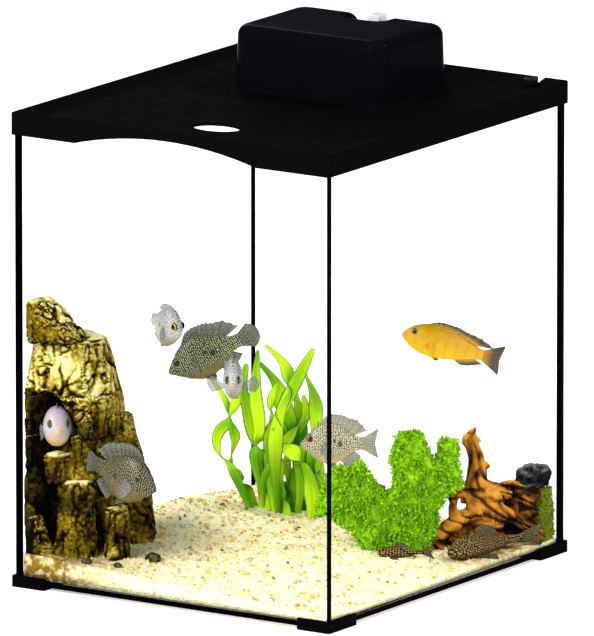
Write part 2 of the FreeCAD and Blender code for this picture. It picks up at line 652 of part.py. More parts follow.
# ---- fish -------------------------------------------------------------------
def ellipse_section(x, half_height, half_width, lift):
    major, minor = max(half_height, half_width), min(half_height, half_width)
    tall = half_height >= half_width
    curve = Part.Ellipse(V(0, 0, 0), major, minor)
    wire = Part.Wire(curve.toShape())
    wire.rotate(V(0, 0, 0), V(0, 1, 0), 90)
    if not tall:
        wire.rotate(V(0, 0, 0), V(1, 0, 0), 90)
    wire.translate(V(x, 0, lift))
    return wire


def fish(length, height, width, centre, heading, pitch, flat_belly=False):
    """Fish body with its fins. Length runs from the lips to the tail's end, along +X at heading 0."""
    body = 0.80 * length
    nose = length / 2
    shares = [(0.00, 0.10), (0.08, 0.42), (0.22, 0.80), (0.42, 1.00), (0.64, 0.80),
              (0.84, 0.38), (1.00, 0.25)]
    sections = []
    for along, share in shares:
        thick = share if along < 0.5 else share * (1.05 - 0.55 * (along - 0.5) / 0.5)
        lift = 0.0 if not flat_belly else 0.25 * height * (share - 1)
        sections.append(ellipse_section(nose - along * body, height / 2 * share,
                                        max(width / 2 * thick, 0.8), lift))
    solid = Part.makeLoft(sections, True, False)
    tail_x = nose - 0.97 * body
    lift = 0.0 if not flat_belly else -0.18 * height
    fin = 0.8
    tail = Part.Face(Part.makePolygon([
        V(tail_x, -fin, lift + 0.09 * height), V(-nose, -fin, lift + 0.34 * height),
        V(-nose, -fin, lift - 0.34 * height), V(tail_x, -fin, lift - 0.09 * height),
        V(tail_x, -fin, lift + 0.09 * height)])).extrude(V(0, 2 * fin, 0))
    dorsal = Part.Face(Part.makePolygon([
        V(nose - 0.30 * body, -fin, 0.40 * height), V(nose - 0.42 * body, -fin, 0.58 * height),
        V(nose - 0.86 * body, -fin, 0.52 * height), V(nose - 0.82 * body, -fin, 0.08 * height),
        V(nose - 0.30 * body, -fin, 0.40 * height)])).extrude(V(0, 2 * fin, 0))
    shapes = [solid, tail, dorsal]
    if not flat_belly:
        shapes.append(Part.Face(Part.makePolygon([
            V(nose - 0.62 * body, -fin, -0.30 * height),
            V(nose - 0.88 * body, -fin, -0.48 * height),
            V(nose - 0.88 * body, -fin, -0.08 * height),
            V(nose - 0.62 * body, -fin, -0.30 * height)])).extrude(V(0, 2 * fin, 0)))
    made = fuse(shapes)
    made.rotate(V(0, 0, 0), V(0, 1, 0), -pitch)
    made.rotate(V(0, 0, 0), UP, heading)
    made.translate(V(*centre))
    return made


fishes = {  # length, height, width; centre; heading and nose-up angle in degrees
    "cichlid_high": (46, 33, 13, (-71.0, -71.0, 201.0), -20.0, -4.0),
    "cichlid_large": (80, 36, 15, (-64.0, -18.0, 171.0), spread_turn + 180, -25.0),
    "cichlid_middle": (48, 36, 13, (-27.0, -46.0, 160.0), -58.0, -10.0),
    "cichlid_left": (38, 34, 15, (-124.0, -144.0, 127.0), -64.0, 0.0),
    "cichlid_low": (68, 44, 16, (-67.0, -143.0, 96.5), spread_turn - 28, -14.0),
    "cichlid_right": (62, 40, 14, (73.0, -41.5, 119.0), spread_turn + 180, 0.0),
    "yellow_cichlid": (81, 26, 12, (106.5, 70.0, 179.0), spread_turn + 180, 16.0),
}


def bottom_fish():
    out = {}
    for node, length, width, x, y, heading in (
            ("pleco_large", 102, 18, 126.5, 97.0, -99.0),
            ("pleco_small", 46, 10, 86.0, 33.0, spread_turn + 180),
            ("pleco_hidden", 34, 7, 34.0, 66.0, spread_turn + 170)):
        z = sand_height(x, y) + 0.40 * width + 0.6
        out[node] = fish(length, 0.8 * width, width, (x, y, z), heading, 0.0, flat_belly=True)
    return out


def aquascape():
    made = dict(rocks())
    made["driftwood"] = driftwood()
    made["lava_rock"] = clear_of(lava_rock(), [made["driftwood"]])
    made["corner_moss"] = clear_of(corner_moss(), [made["driftwood"], made["lava_rock"]])
    made["frond_plant"] = clear_of(frond_plant(), [made["driftwood"]])
    leaves = strap_plant()
    stones = pebbles()
    stones = [clear_of(ball, list(made.values())) for ball in stones]
    sand = sand_bed()
    for shape in list(made.values()) + leaves + stones:
        sand = sand.cut(shape)
    for node, shape in made.items():
        save(shape, node)
    save(group(leaves), "strap_plant")
    save(group(stones), "pebbles")
    save(max(sand.Solids, key=lambda solid: solid.Volume), "sand_bed")
    for node, values in fishes.items():
        save(fish(*values), node)
    for node, shape in bottom_fish().items():
        save(shape, node)


tank()
silicone()
feet()
hood()
lamp()
filter_box()
hood_screws()
filter_media()
pump()
cover()
switch()
lamp_button()
aquascape()
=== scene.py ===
import random
from math import copysign, cos, degrees, exp, pi, radians, sin

import bmesh
import bpy
from mathutils import Matrix, Vector, noise


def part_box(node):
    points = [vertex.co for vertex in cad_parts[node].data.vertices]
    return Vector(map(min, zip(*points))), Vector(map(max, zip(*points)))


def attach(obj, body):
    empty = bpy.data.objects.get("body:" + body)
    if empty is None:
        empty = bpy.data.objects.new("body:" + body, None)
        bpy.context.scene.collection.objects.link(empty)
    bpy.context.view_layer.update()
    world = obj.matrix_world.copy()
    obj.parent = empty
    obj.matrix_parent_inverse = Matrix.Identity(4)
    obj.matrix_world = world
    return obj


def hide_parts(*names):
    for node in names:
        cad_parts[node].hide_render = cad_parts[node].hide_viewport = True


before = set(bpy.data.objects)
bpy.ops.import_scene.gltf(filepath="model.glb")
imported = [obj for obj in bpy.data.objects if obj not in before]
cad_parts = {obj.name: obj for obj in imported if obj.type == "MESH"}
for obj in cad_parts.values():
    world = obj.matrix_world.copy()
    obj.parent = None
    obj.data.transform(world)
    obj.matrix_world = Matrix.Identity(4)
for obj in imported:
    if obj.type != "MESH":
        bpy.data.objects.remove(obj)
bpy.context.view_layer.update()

MM = 0.001
UP = Vector((0, 0, 1))
VIEW_TURN = radians(33.44)
VIEW_RISE = radians(12.4)
ALONG = Vector((cos(VIEW_TURN), sin(VIEW_TURN), 0))     # the plants spread along this
BEHIND = Vector((-ALONG.y, ALONG.x, 0))
GAP = Vector((0.15, 0.15, 0.15)) * MM
WATER_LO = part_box("sand_bed")[0] + GAP      # a hair inside the panes
WATER_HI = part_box("sand_bed")[1] - GAP


def place(across, behind, z):
    """Point from millimetres along the spread line, behind it, and up."""
    return (ALONG * across + BEHIND * behind + UP * z) * MM


# ---- camera, floor and light ----------------------------------------------------

def make_camera():
    lens, sensor, view_height = 1200.0, 36.0, 0.5031
    aim_along, aim_up = 0.00498, 0.19833
    back = Vector((sin(VIEW_TURN) * cos(VIEW_RISE), -cos(VIEW_TURN) * cos(VIEW_RISE), sin(VIEW_RISE)))
    up = Vector((-sin(VIEW_TURN) * sin(VIEW_RISE), cos(VIEW_TURN) * sin(VIEW_RISE), cos(VIEW_RISE)))
    data = bpy.data.cameras.new("camera")
    data.lens, data.sensor_width, data.clip_end = lens, sensor, 60.0
    camera = bpy.data.objects.new("camera", data)
    bpy.context.collection.objects.link(camera)
    camera.location = ALONG * aim_along + up * aim_up + back * (view_height * lens / sensor)
    camera.rotation_mode = "QUATERNION"
    camera.rotation_quaternion = (-back).to_track_quat("-Z", "Y")
    bpy.context.scene.camera = camera


def area_light(name, place_at, aim, size, power):
    data = bpy.data.lights.new(name, "AREA")
    data.shape, data.size, data.energy = "SQUARE", size, power
    light = bpy.data.objects.new(name, data)
    bpy.context.collection.objects.link(light)
    light.location = place_at
    light.rotation_mode = "QUATERNION"
    light.rotation_quaternion = (Vector(aim) - Vector(place_at)).to_track_quat("-Z", "Y")
    light.visible_camera = False


def studio():
    scene = bpy.context.scene
    scene.view_settings.view_transform = "Standard"
    world = bpy.data.worlds.new("studio")
    scene.world = world
    world.use_nodes = True
    world.node_tree.nodes["Background"].inputs["Color"].default_value = (0.9, 0.95, 1.0, 1)
    world.node_tree.nodes["Background"].inputs["Strength"].default_value = 0.1
    key = bpy.data.lights.new("key", "SUN")
    key.energy, key.angle = 3.1, radians(35)
    sun = bpy.data.objects.new("key", key)
    bpy.context.collection.objects.link(sun)
    sun.rotation_mode = "QUATERNION"
    sun.rotation_quaternion = Vector((0.2, 0.75, -0.72)).to_track_quat("-Z", "Y")
    centre = (0, 0, 0.18)
    area_light("fill_front", (-0.2, -2.2, 0.9), centre, 1.6, 30)
    area_light("fill_right", (2.2, -0.5, 0.8), centre, 1.4, 26)
    area_light("edge_back", (1.25, 1.25, 2.5), (0, 0, 0.42), 0.45, 45)
    area_light("back_left", (-1.8, 1.6, 1.6), (0, 0, 0.3), 1.2, 14)
    reach = 14.0
    corners = [(-reach, -reach, 0), (reach, -reach, 0), (reach, reach, 0), (-reach, reach, 0)]
    floor = bpy.data.objects.new("floor", new_mesh("floor", corners, [(0, 1, 2, 3)]))
    bpy.context.collection.objects.link(floor)
    paint = Paint("floor_white", (0.9, 0.9, 0.9), 0.9, specular=0.0)
    paint.set("Emission Color", (1, 1, 1, 1))
    paint.set("Emission Strength", 0.42)
    paint.on(floor)
    floor.location.z = -0.0002


# ---- materials --------------------------------------------------------------------

class Paint:
    """A material on one Principled shader, with helpers for its texture nodes."""

    def __init__(self, name, color, roughness, specular=0.5, metallic=0.0):
        self.material = bpy.data.materials.new(name)
        self.material.use_nodes = True
        self.tree = self.material.node_tree
        self.shader = self.tree.nodes["Principled BSDF"]
        self.set("Base Color", (*color, 1))
        self.set("Roughness", roughness)
        self.set("Specular IOR Level", specular)
        self.set("Metallic", metallic)
        self.heights = []

    def node(self, kind, inputs=None, **settings):
        made = self.tree.nodes.new("ShaderNode" + kind)
        for key, value in settings.items():
            setattr(made, key, value)
        for key, value in (inputs or {}).items():
            if isinstance(value, bpy.types.NodeSocket):
                self.tree.links.new(value, made.inputs[key])
            else:
                made.inputs[key].default_value = value
        return made

    def position(self, stretch=(1, 1, 1)):
        """Place on the part in metres, stretched."""
        where = self.node("TexCoord").outputs["Object"]
        return self.node("Mapping", {"Vector": where, "Scale": stretch}).outputs[0]

    def attribute(self, name, output="Vector"):
        return self.node("Attribute", attribute_name=name).outputs[output]

    def number(self, name):
        return self.attribute(name, "Fac")

    def set(self, name, value):
        self.shader.inputs[name].default_value = value

    def noise(self, scale, vector=None, detail=3.0, roughness=0.55):
        return self.node("TexNoise", {
            "Vector": vector or self.position(), "Scale": scale, "Detail": detail,
            "Roughness": roughness}).outputs["Fac"]

    def cells(self, scale, vector=None, uneven=1.0):
        return self.node("TexVoronoi", {
            "Vector": vector or self.position(), "Scale": scale, "Randomness": uneven},
            voronoi_dimensions="3D" if uneven == 1.0 else "2D")

    def span(self, value, low, high, to_low=0.0, to_high=1.0):
        return self.node("MapRange", {
            "Value": value, "From Min": low, "From Max": high,
            "To Min": to_low, "To Max": to_high}).outputs[0]

    def math(self, operation, a, b=0.0):
        return self.node("Math", {0: a, 1: b}, operation=operation).outputs[0]

    def ramp(self, value, stops):
        made = self.node("ValToRGB", {"Fac": value})
        while len(made.color_ramp.elements) < len(stops):
            made.color_ramp.elements.new(0.5)
        for element, (at, color) in zip(made.color_ramp.elements, stops):
            element.position = at
            element.color = (*color, 1)
        return made.outputs["Color"]

    def mix(self, fac, a, b, kind="MIX"):
        made = self.node("Mix", data_type="RGBA", blend_type=kind)
        for socket, value in ((made.inputs[0], fac), (made.inputs[6], a), (made.inputs[7], b)):
            if isinstance(value, bpy.types.NodeSocket):
                self.tree.links.new(value, socket)
            else:
                socket.default_value = (*value, 1) if isinstance(value, tuple) else value
        return made.outputs[2]

    def color(self, socket):
        self.tree.links.new(socket, self.shader.inputs["Base Color"])

    def rough(self, socket):
        self.tree.links.new(socket, self.shader.inputs["Roughness"])

    def bump(self, height, distance, strength=1.0):
        """Adds one layer of relief, its full height in metres."""
        inputs = {"Height": height, "Distance": distance, "Strength": strength}
        if self.heights:
            inputs["Normal"] = self.heights[-1]
        self.heights.append(self.node("Bump", inputs).outputs[0])
        self.tree.links.new(self.heights[-1], self.shader.inputs["Normal"])

    def see_through(self, clear, tint=(1, 1, 1)):
        """Mixes the shader with clear: a number, or a socket."""
        output = self.tree.nodes["Material Output"]
        hole = self.node("BsdfTransparent", {"Color": (*tint, 1)})
        made = self.node("MixShader", {1: self.shader.outputs[0], 2: hole.outputs[0], 0: clear})
        self.tree.links.new(made.outputs[0], output.inputs["Surface"])

    def on(self, *things):
        for thing in things:
            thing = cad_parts[thing] if isinstance(thing, str) else thing
            thing.data.materials.clear()
            thing.data.materials.append(self.material)


def moulded(name, color, roughness, specular, grain, depth):
    """Moulded plastic: fine grain, and a little wear in its gloss."""
    paint = Paint(name, color, roughness, specular)
    cloud = paint.noise(55.0, detail=4.0)
    paint.rough(paint.span(cloud, 0.3, 0.7, roughness * 0.85, min(1.0, roughness * 1.2)))
    paint.color(paint.mix(cloud, tuple(c * 0.85 for c in color), tuple(c * 1.15 for c in color)))
    paint.bump(paint.noise(grain, detail=2.0), depth, 0.6)
    return paint


def clear_glass():
    paint = Paint("clear_glass", (0.86, 0.93, 0.9), 0.02, metallic=1.0)
    glance = paint.node("LayerWeight", {"Blend": 0.5}).outputs["Facing"]
    smear = paint.span(paint.noise(9.0, detail=2.0), 0.35, 0.7, 0.002, 0.006)
    clear = paint.math("SUBTRACT", 1.0, paint.math("MULTIPLY", paint.math("POWER", glance, 3.0), smear))
    paint.see_through(clear, (0.994, 0.998, 0.996))
    return paint


def steel():
    paint = Paint("screw_steel", (0.55, 0.55, 0.56), 0.3, metallic=1.0)
    paint.rough(paint.span(paint.noise(1500.0, paint.position((1, 8, 1))), 0.3, 0.7, 0.22, 0.42))
    return paint


def lamp_board():
    paint = Paint("lamp_board", (0.8, 0.82, 0.8), 0.4)
    tracks = paint.node("TexBrick", {
        "Vector": paint.position(), "Scale": 83.0, "Color1": (0.82, 0.84, 0.82, 1),
        "Color2": (0.78, 0.8, 0.79, 1), "Mortar": (0.62, 0.55, 0.3, 1), "Mortar Size": 0.03})
    paint.color(tracks.outputs["Color"])
    return paint


def lamp_chip():
    paint = Paint("lamp_chip", (0.95, 0.8, 0.3), 0.3)
    paint.color(paint.mix(paint.noise(900.0), (0.95, 0.78, 0.25), (0.98, 0.88, 0.45)))
    return paint


def lamp_lens():
    paint = Paint("lamp_lens", (0.9, 0.93, 0.95), 0.25)
    ribs = paint.node("TexWave", {"Vector": paint.position(), "Scale": 160.0})
    paint.bump(ribs.outputs["Fac"], 0.0004, 0.5)
    paint.see_through(0.45)
    return paint


def clear_boot():
    paint = Paint("clear_boot", (0.82, 0.87, 0.9), 0.12, 0.6)
    paint.rough(paint.span(paint.noise(300.0), 0.3, 0.7, 0.08, 0.22))
    paint.set("Coat Weight", 0.4)
    paint.see_through(0.35)
    return paint


def foam():
    paint = Paint("filter_foam", (0.03, 0.08, 0.16), 0.95, 0.1)
    pores = paint.cells(620.0).outputs["Distance"]
    # painted shade: the pores are coloured darker than the foam between them
    paint.color(paint.ramp(pores, [(0.0, (0.004, 0.008, 0.014)), (0.5, (0.04, 0.11, 0.22))]))
    paint.bump(pores, 0.0012)
    return paint


def stone(name, *tones):
    """Weathered rock: painted shade darkens its cracks, pits and undersides, painted light brightens its
    tops.
    """
    paint = Paint(name, tones[2], 0.9, 0.04)
    tone = paint.number("tone")
    grain = paint.noise(420.0, detail=5.0, roughness=0.65)
    # the tone carries painted light on tops and painted shade in cracks, pits and undersides; the grain
    # adds a random change
    light_shade_and_grain = paint.math("ADD", tone, paint.span(grain, 0.25, 0.75, -0.18, 0.18))
    colour = paint.ramp(light_shade_and_grain, list(zip((0.12, 0.32, 0.5, 0.72, 0.95), tones)))
    moss = paint.span(paint.noise(38.0, detail=4.0), 0.5, 0.72, 0.0, 0.5)
    paint.color(paint.mix(moss, colour, (0.62, 0.8, 0.45), "MULTIPLY"))
    paint.bump(grain, 0.001, 0.9)
    paint.bump(paint.cells(330.0).outputs["Distance"], 0.0007, 0.7)
    return paint


def grains_paint():
    """Takes its colour from the grains themselves, with a fine speckle."""
    paint = Paint("sand_grain", (0.5, 0.5, 0.5), 0.7, 0.25)
    own = paint.attribute("tint", "Color")
    fine = paint.noise(1400.0, detail=3.0)
    paint.color(paint.mix(paint.span(fine, 0.3, 0.7, 0.0, 0.45), own, (0.45, 0.33, 0.18), "MULTIPLY"))
    paint.bump(fine, 0.0003, 0.8)
    return paint


def sand_paint():
    paint = Paint("sand", (0.8, 0.7, 0.5), 0.9, 0.15)
    base = paint.ramp(paint.noise(95.0, detail=6.0, roughness=0.72), [
        (0.28, (0.78, 0.44, 0.08)), (0.42, (0.96, 0.84, 0.34)), (0.52, (0.99, 0.94, 0.58)),
        (0.7, (0.99, 0.98, 0.78))])
    cell = paint.cells(520.0)
    pick = paint.node("SeparateColor", {"Color": cell.outputs["Color"]})
    grain = paint.ramp(pick.outputs[0], [
        (0.0, (0.4, 0.2, 0.04)), (0.06, (0.8, 0.48, 0.1)), (0.14, (0.95, 0.8, 0.32)),
        (0.45, (0.98, 0.93, 0.58)), (0.9, (0.99, 0.97, 0.78))])
    patches = paint.span(paint.noise(150.0, detail=4.0), 0.4, 0.54, 0.5, 1.0)
    # painted shade: where the tone is high the bed is darkened to brown, in patches
    sand_shade = paint.math("MULTIPLY", paint.number("tone"), patches)
    paint.color(paint.mix(sand_shade, paint.mix(0.6, base, grain), (0.22, 0.135, 0.015), "MULTIPLY"))
    paint.bump(cell.outputs["Distance"], 0.0008, 0.8)
    paint.bump(paint.noise(1500.0), 0.0004, 0.6)
    return paint


def wood_paint():
    paint = Paint("root_wood", (0.35, 0.14, 0.03), 0.66, 0.08)
    tone = paint.number("tone")
    fibre = paint.noise(240.0, paint.position((1.0, 1.0, 0.22)), detail=5.0, roughness=0.6)
    # the tone carries painted light on tops and painted shade in grooves, creases, recesses and undersides;
    # the fibre adds a random change
    light_shade_and_grain = paint.math("ADD", tone, paint.span(fibre, 0.25, 0.75, -0.25, 0.25))
    paint.color(paint.ramp(light_shade_and_grain, [
        (0.08, (0.003, 0.001, 0.0)), (0.3, (0.045, 0.014, 0.0004)), (0.56, (0.26, 0.085, 0.002)),
        (0.92, (0.66, 0.29, 0.03))]))
    paint.bump(fibre, 0.0008, 0.9)
    return paint


def leaf_paint(name, lit_green, shaded_green, veins):
    """Leaf: lengthwise veins, and a tone from base to tip that also carries painted light and shade."""
    paint = Paint(name, lit_green, 0.5, 0.12)
    tone = paint.number("tone")
    across = paint.number("across")
    vein = paint.math("SINE", paint.math("MULTIPLY", across, veins))
    # the tone runs from the shaded to the lit green: painted shade and painted light, with a change from
    # base to tip
    body = paint.ramp(tone, [(0.05, shaded_green), (0.45, tuple(0.6 * a + 0.4 * b for a, b in zip(shaded_green, lit_green))),
                             (0.95, lit_green)])
    streak = paint.span(vein, -1.0, 1.0, 0.0, 0.18)
    body = paint.mix(streak, body, tuple(c * 0.62 for c in lit_green))
    rim = paint.span(paint.math("ABSOLUTE", across), 0.8, 1.0, 0.0, 0.9)
    paint.color(paint.mix(rim, body, (shaded_green[0] * 0.4, shaded_green[1] * 0.4, shaded_green[1] * 0.15)))
    paint.bump(vein, 0.0002, 0.6)
    paint.set("Subsurface Weight", 0.15)
    paint.set("Subsurface Radius", (0.001, 0.002, 0.0003))
    return paint


def fish_paint(name, back, side, belly, spot, spots, blotch, bars=0.0, wet=0.3, dot=0.34, step=2.0,
               lips=None):
    """Scaled skin: dark above, pale below, with pearl spots and side blotches."""
    paint = Paint(name, side, wet, 0.22)
    place_on = paint.attribute("skin")
    split = paint.node("SeparateXYZ", {"Vector": place_on})
    x, z = split.outputs[0], split.outputs[2]
    shade = paint.math("ADD", z, paint.span(paint.noise(7.0, place_on), 0.3, 0.7, -0.08, 0.08))
    body = paint.ramp(paint.span(shade, -0.5, 0.5), [
        (0.12, belly), (0.42, side), (0.72, tuple((a + b) / 2 for a, b in zip(side, back))),
        (0.92, back)])
    scale_at = paint.attribute("scale_at")
    cell = paint.cells(1.25 / step, scale_at, 0.45)
    pearl = paint.span(cell.outputs["Distance"], dot - 0.08, dot + 0.08, 1.0, 0.0)
    fade = paint.span(z, -0.36, -0.12)
    color = paint.mix(paint.math("MULTIPLY", paint.math("MULTIPLY", pearl, fade), spots), body, spot)
    for bx, bz, size in blotch:
        offset = paint.node("VectorMath", {0: place_on, 1: (bx, 0.0, bz)},
                            operation="SUBTRACT").outputs["Vector"]
        flat = paint.node("VectorMath", {0: offset, 1: (1.0, 0.0, 0.42)},
                          operation="MULTIPLY").outputs["Vector"]
        away = paint.node("VectorMath", {0: flat}, operation="LENGTH").outputs["Value"]
        color = paint.mix(paint.span(away, size * 0.6, size, 0.9, 0.0), color, (0.008, 0.008, 0.01))
    if lips:
        near = paint.span(x, 0.012, 0.05, 0.75, 0.0)
        color = paint.mix(paint.math("MULTIPLY", near, paint.span(z, 0.02, 0.06, 1.0, 0.0)), color, lips)
    if bars:
        wave = paint.math("SINE", paint.math("MULTIPLY", x, 62.0))
        color = paint.mix(paint.span(wave, 0.2, 1.0, 0.0, bars), color, tuple(c * 0.62 for c in side))
    paint.color(color)
    paint.bump(cell.outputs["Distance"], 0.0003, 0.4)
    paint.set("Coat Weight", 0.06)
    return paint


def fin_paint(name, root, edge, spot, clear, turns=(0.45, 0.85)):
    paint = Paint(name, root, 0.4, 0.4)
    out = paint.number("tone")
    rays = paint.number("across")
    ray = paint.math("SINE", paint.math("MULTIPLY", rays, 62.0))
    body = paint.ramp(out, [(0.0, root), (turns[0], root), (turns[1], edge)])
    speck = paint.cells(0.7, paint.attribute("scale_at"), 0.4).outputs["Distance"]
    body = paint.mix(paint.span(speck, 0.2, 0.34, 0.55, 0.0), body, spot)
    paint.color(paint.mix(paint.span(ray, -0.2, 1.0, 0.0, 0.45), body, tuple(c * 0.45 for c in root)))
    paint.bump(ray, 0.0002, 0.7)
    if clear:
        paint.see_through(clear)
    return paint


def eye_paint():
    paint = Paint("fish_eye", (0, 0, 0), 0.18, 0.3)
    own = paint.attribute("tint", "Color")
    paint.color(paint.mix(paint.span(paint.noise(2600.0), 0.3, 0.7, 0.0, 0.35), own, (0.3, 0.2, 0.1),
                          "MULTIPLY"))
    paint.set("Coat Weight", 0.1)
    return paint


# ---- mesh helpers -------------------------------------------------------------------

LAYER_FIELDS = {"FLOAT": "value", "FLOAT_VECTOR": "vector", "FLOAT_COLOR": "color"}


def add_layer(mesh, label, values, kind="FLOAT"):
    """Gives each point of a mesh a named number, vector or colour."""
    mesh.attributes.new(label, kind, "POINT").data.foreach_set(LAYER_FIELDS[kind], values)


def new_mesh(name, verts, faces, **layers):
    mesh = bpy.data.meshes.new(name)
    mesh.from_pydata(verts, [], faces)
    for label, values in layers.items():
        add_layer(mesh, label, values)
    return mesh


def sheet_faces(rows, columns, start=0, flip=False):
    """Quads between the points of a sheet, `columns` points to a row."""
    faces = []
    for row in range(rows - 1):
        for k in range(columns - 1):
            a = start + row * columns + k
            quad = (a, a + 1, a + columns + 1, a + columns)
            faces.append(tuple(reversed(quad)) if flip else quad)
    return faces


def keep_in(point, gaps=0):
    """Brings a point inside the panes, and further in by whole gaps."""
    for axis in (0, 1):
        low, high = WATER_LO[axis] + gaps * GAP[axis], WATER_HI[axis] - gaps * GAP[axis]
        point[axis] = min(max(point[axis], low), high)


def piece(name, mesh, body, nodes, paints):
    """A finished object that stands for CAD nodes and moves with a body."""
    mesh.validate()
    mesh.polygons.foreach_set("use_smooth", [True] * len(mesh.polygons))
    thing = bpy.data.objects.new(name, mesh)
    bpy.context.collection.objects.link(thing)
    for paint in paints:
        thing.data.materials.append(paint.material)
    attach(thing, body)
    if nodes:
        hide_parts(*nodes)


def modified(mesh, kind, **settings):
    """A mesh as one modifier leaves it."""
    thing = bpy.data.objects.new("modified", mesh)
    bpy.context.collection.objects.link(thing)
    change = thing.modifiers.new("change", kind)
    for key, value in settings.items():
        setattr(change, key, value)
    graph = bpy.context.evaluated_depsgraph_get()
    made = bpy.data.meshes.new_from_object(thing.evaluated_get(graph))
    bpy.data.objects.remove(thing)
    return made


def remeshed(mesh, voxel):
    """One closed skin round everything in a mesh."""
    made = modified(mesh, "REMESH", mode="VOXEL", voxel_size=voxel, adaptivity=0.0)
    made.materials.clear()
    return made


def carve(mesh, relief, top=0.0, under=0.0):
    """Moves each point by relief(point, normal) -> (metres, tone); top adds painted light to faces that
    look up, under adds painted shade to faces that look down.
    """
    tones = []
    normals = [vertex.normal.copy() for vertex in mesh.vertices]
    for vertex, normal in zip(mesh.vertices, normals):
        move, tone = relief(vertex.co, normal)
        vertex.co += normal * move
        keep_in(vertex.co, 2)
        vertex.co.z = max(vertex.co.z, WATER_LO.z + 2 * GAP.z)
        tones.append(tone)
    mesh.update()
    for i, vertex in enumerate(mesh.vertices):
        slope = vertex.normal.z
        # painted light on faces that look up, painted shade on faces that look down
        tones[i] = min(max(tones[i] + (top if slope > 0 else under) * slope, 0.0), 1.0)
    add_layer(mesh, "tone", tones)
    return mesh


def ridge(point, scale, stretch=(1, 1, 1)):
    """0 in the crease of a folded noise, 1 away from it."""
    at = Vector((point.x * stretch[0], point.y * stretch[1], point.z * stretch[2])) * (1 / scale)
    return min(1.0, abs(noise.noise(at)) * 3.2)


def cloud(point, scale):
    return noise.noise(point * (1 / scale))


# ---- rocks, root and moss --------------------------------------------------------------

def rock_relief(point, normal):
    """Upright crevices on the sides, wandering fissures and pits on the tops."""
    flat = min(1.0, abs(normal.z) * 1.6)
    bent = point + Vector((cloud(point, 0.011), cloud(point.yzx, 0.009), 0)) * 0.0035
    upright = 0.13 + 0.87 * flat
    crack = min(1.0, 1.2 * ridge(bent, 0.0095, (1, 1, upright)))
    fade = min(1.0, max(0.35, 0.85 + 1.7 * cloud(point, 0.017)))
    crack = 1 - (1 - crack) * fade
    fissure = min(1.0, ridge(bent + Vector((0.5, 0.1, 0.2)), 0.0155, (1, 1, 0.3 + 0.7 * flat)) * 1.9)
    pit = min(1.0, noise.voronoi(point * 330)[0][0] * 1.9)
    swell = cloud(point, 0.026)
    move = (1.6 + 2.4 * swell - 2.5 * (1 - crack) ** 2 - 1.3 * (1 - fissure) ** 2
            - 0.9 * (0.4 + 0.6 * flat) * (1 - pit) ** 2 + 0.4 * cloud(point, 0.004)) * MM
    low = min(1.0, max(0.0, (0.142 - point.z) / 0.026))       # painted shade at the foot of the pile
    low += 0.5 * min(1.0, max(0.0, (point.z - 0.194) / 0.006))
    # painted shade: the inner cave wall by the left pane is darkened
    inner = 0.25 if point.x < -0.134 and point.z < 0.16 else 0.0
    # painted shade: cracks, fissures and pits lower the tone
    dark = (0.25 + 0.48 * flat) * (1 - crack) + (0.17 + 0.16 * flat) * (1 - fissure) + 0.15 * (1 - pit)
    return move, 0.6 - dark + 0.24 * swell - 0.13 * low - inner


def lava_relief(point, normal):
    bubble = min(1.0, noise.voronoi(point * 170)[0][0] * 1.6)
    move = (3.0 * cloud(point, 0.012) + 2.4 * (bubble - 0.5) + 0.8 * cloud(point, 0.003)) * MM
    # painted shade: the tone is darker in the pits
    return move, 0.12 + 0.4 * bubble


def pebble_relief(point, normal):
    return 0.5 * MM * cloud(point, 0.004), 0.5 + 0.4 * cloud(point, 0.003)


def wood_relief(point, normal):
    """Grooves run up the trunk, and down to the right over the roots."""
    along, behind = point.dot(ALONG), point.dot(BEHIND)
    rise = min(1.0, max(0.0, (point.z - 0.054) / 0.02))
    angle = radians(-32 - 66 * rise)
    along, up = along - 0.148, point.z - 0.063
    flow = along * cos(angle) + up * sin(angle)
    over = up * cos(angle) - along * sin(angle)
    at = Vector((flow * 0.3, over + 0.004 * cloud(point, 0.02), behind * 0.8))
    groove = ridge(at, 0.0085)
    knot = ridge(at + Vector((0.1, 0, 0)), 0.019)
    body = 1 - 0.6 * rise
    move = (1.8 * cloud(point, 0.014) - 1.9 * (1 - groove) ** 2 - 3.4 * body * (1 - knot) ** 2
            + 0.4 * cloud(point, 0.0035)) * MM
    # painted shade: darker in the grooves and knot creases, and on the recessed back of the foot
    deep = min(1.0, max(0.0, (behind / MM - 36.5) / 6)) * (1 - rise)
    return move, 0.04 + 0.36 * groove + 0.34 * knot + 0.22 * cloud(point, 0.012) - 0.36 * deep + 0.05 * rise


def rocks():
    golden = stone("stone", (0.003, 0.002, 0.0002), (0.04, 0.025, 0.001), (0.16, 0.105, 0.003),
                   (0.5, 0.4, 0.08), (0.84, 0.78, 0.4))
    black = stone("dark_stone", (0.001, 0.001, 0.001), (0.003, 0.003, 0.003), (0.008, 0.01, 0.01),
                  (0.03, 0.034, 0.034), (0.16, 0.18, 0.18))
    olive = stone("pebble", (0.006, 0.006, 0.003), (0.02, 0.018, 0.008), (0.06, 0.05, 0.018),
                  (0.13, 0.11, 0.04), (0.3, 0.28, 0.16))
    golden_nodes = [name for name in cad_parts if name.startswith("rock_")]
    for nodes, relief, top, under, slot, paint in (
            (golden_nodes, rock_relief, 0.56, 0.35, "stone", golden),
            (["lava_rock"], lava_relief, 0.5, 0.2, "dark_stone", black)):
        for node in nodes:
            mesh = carve(remeshed(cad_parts[node].data.copy(), 0.95 * MM), relief, top, under)
            piece(node + "_rough", mesh, "tank", [node], [paint])
    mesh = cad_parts["pebbles"].data.copy()
    for vertex in mesh.vertices:
        bed = sand_height(vertex.co.x, vertex.co.y) * MM
        vertex.co.z = bed + (vertex.co.z - bed) * 0.66
    mesh = carve(remeshed(mesh, 0.5 * MM), pebble_relief)
    piece("pebbles_smooth", mesh, "tank", ["pebbles"], [olive])


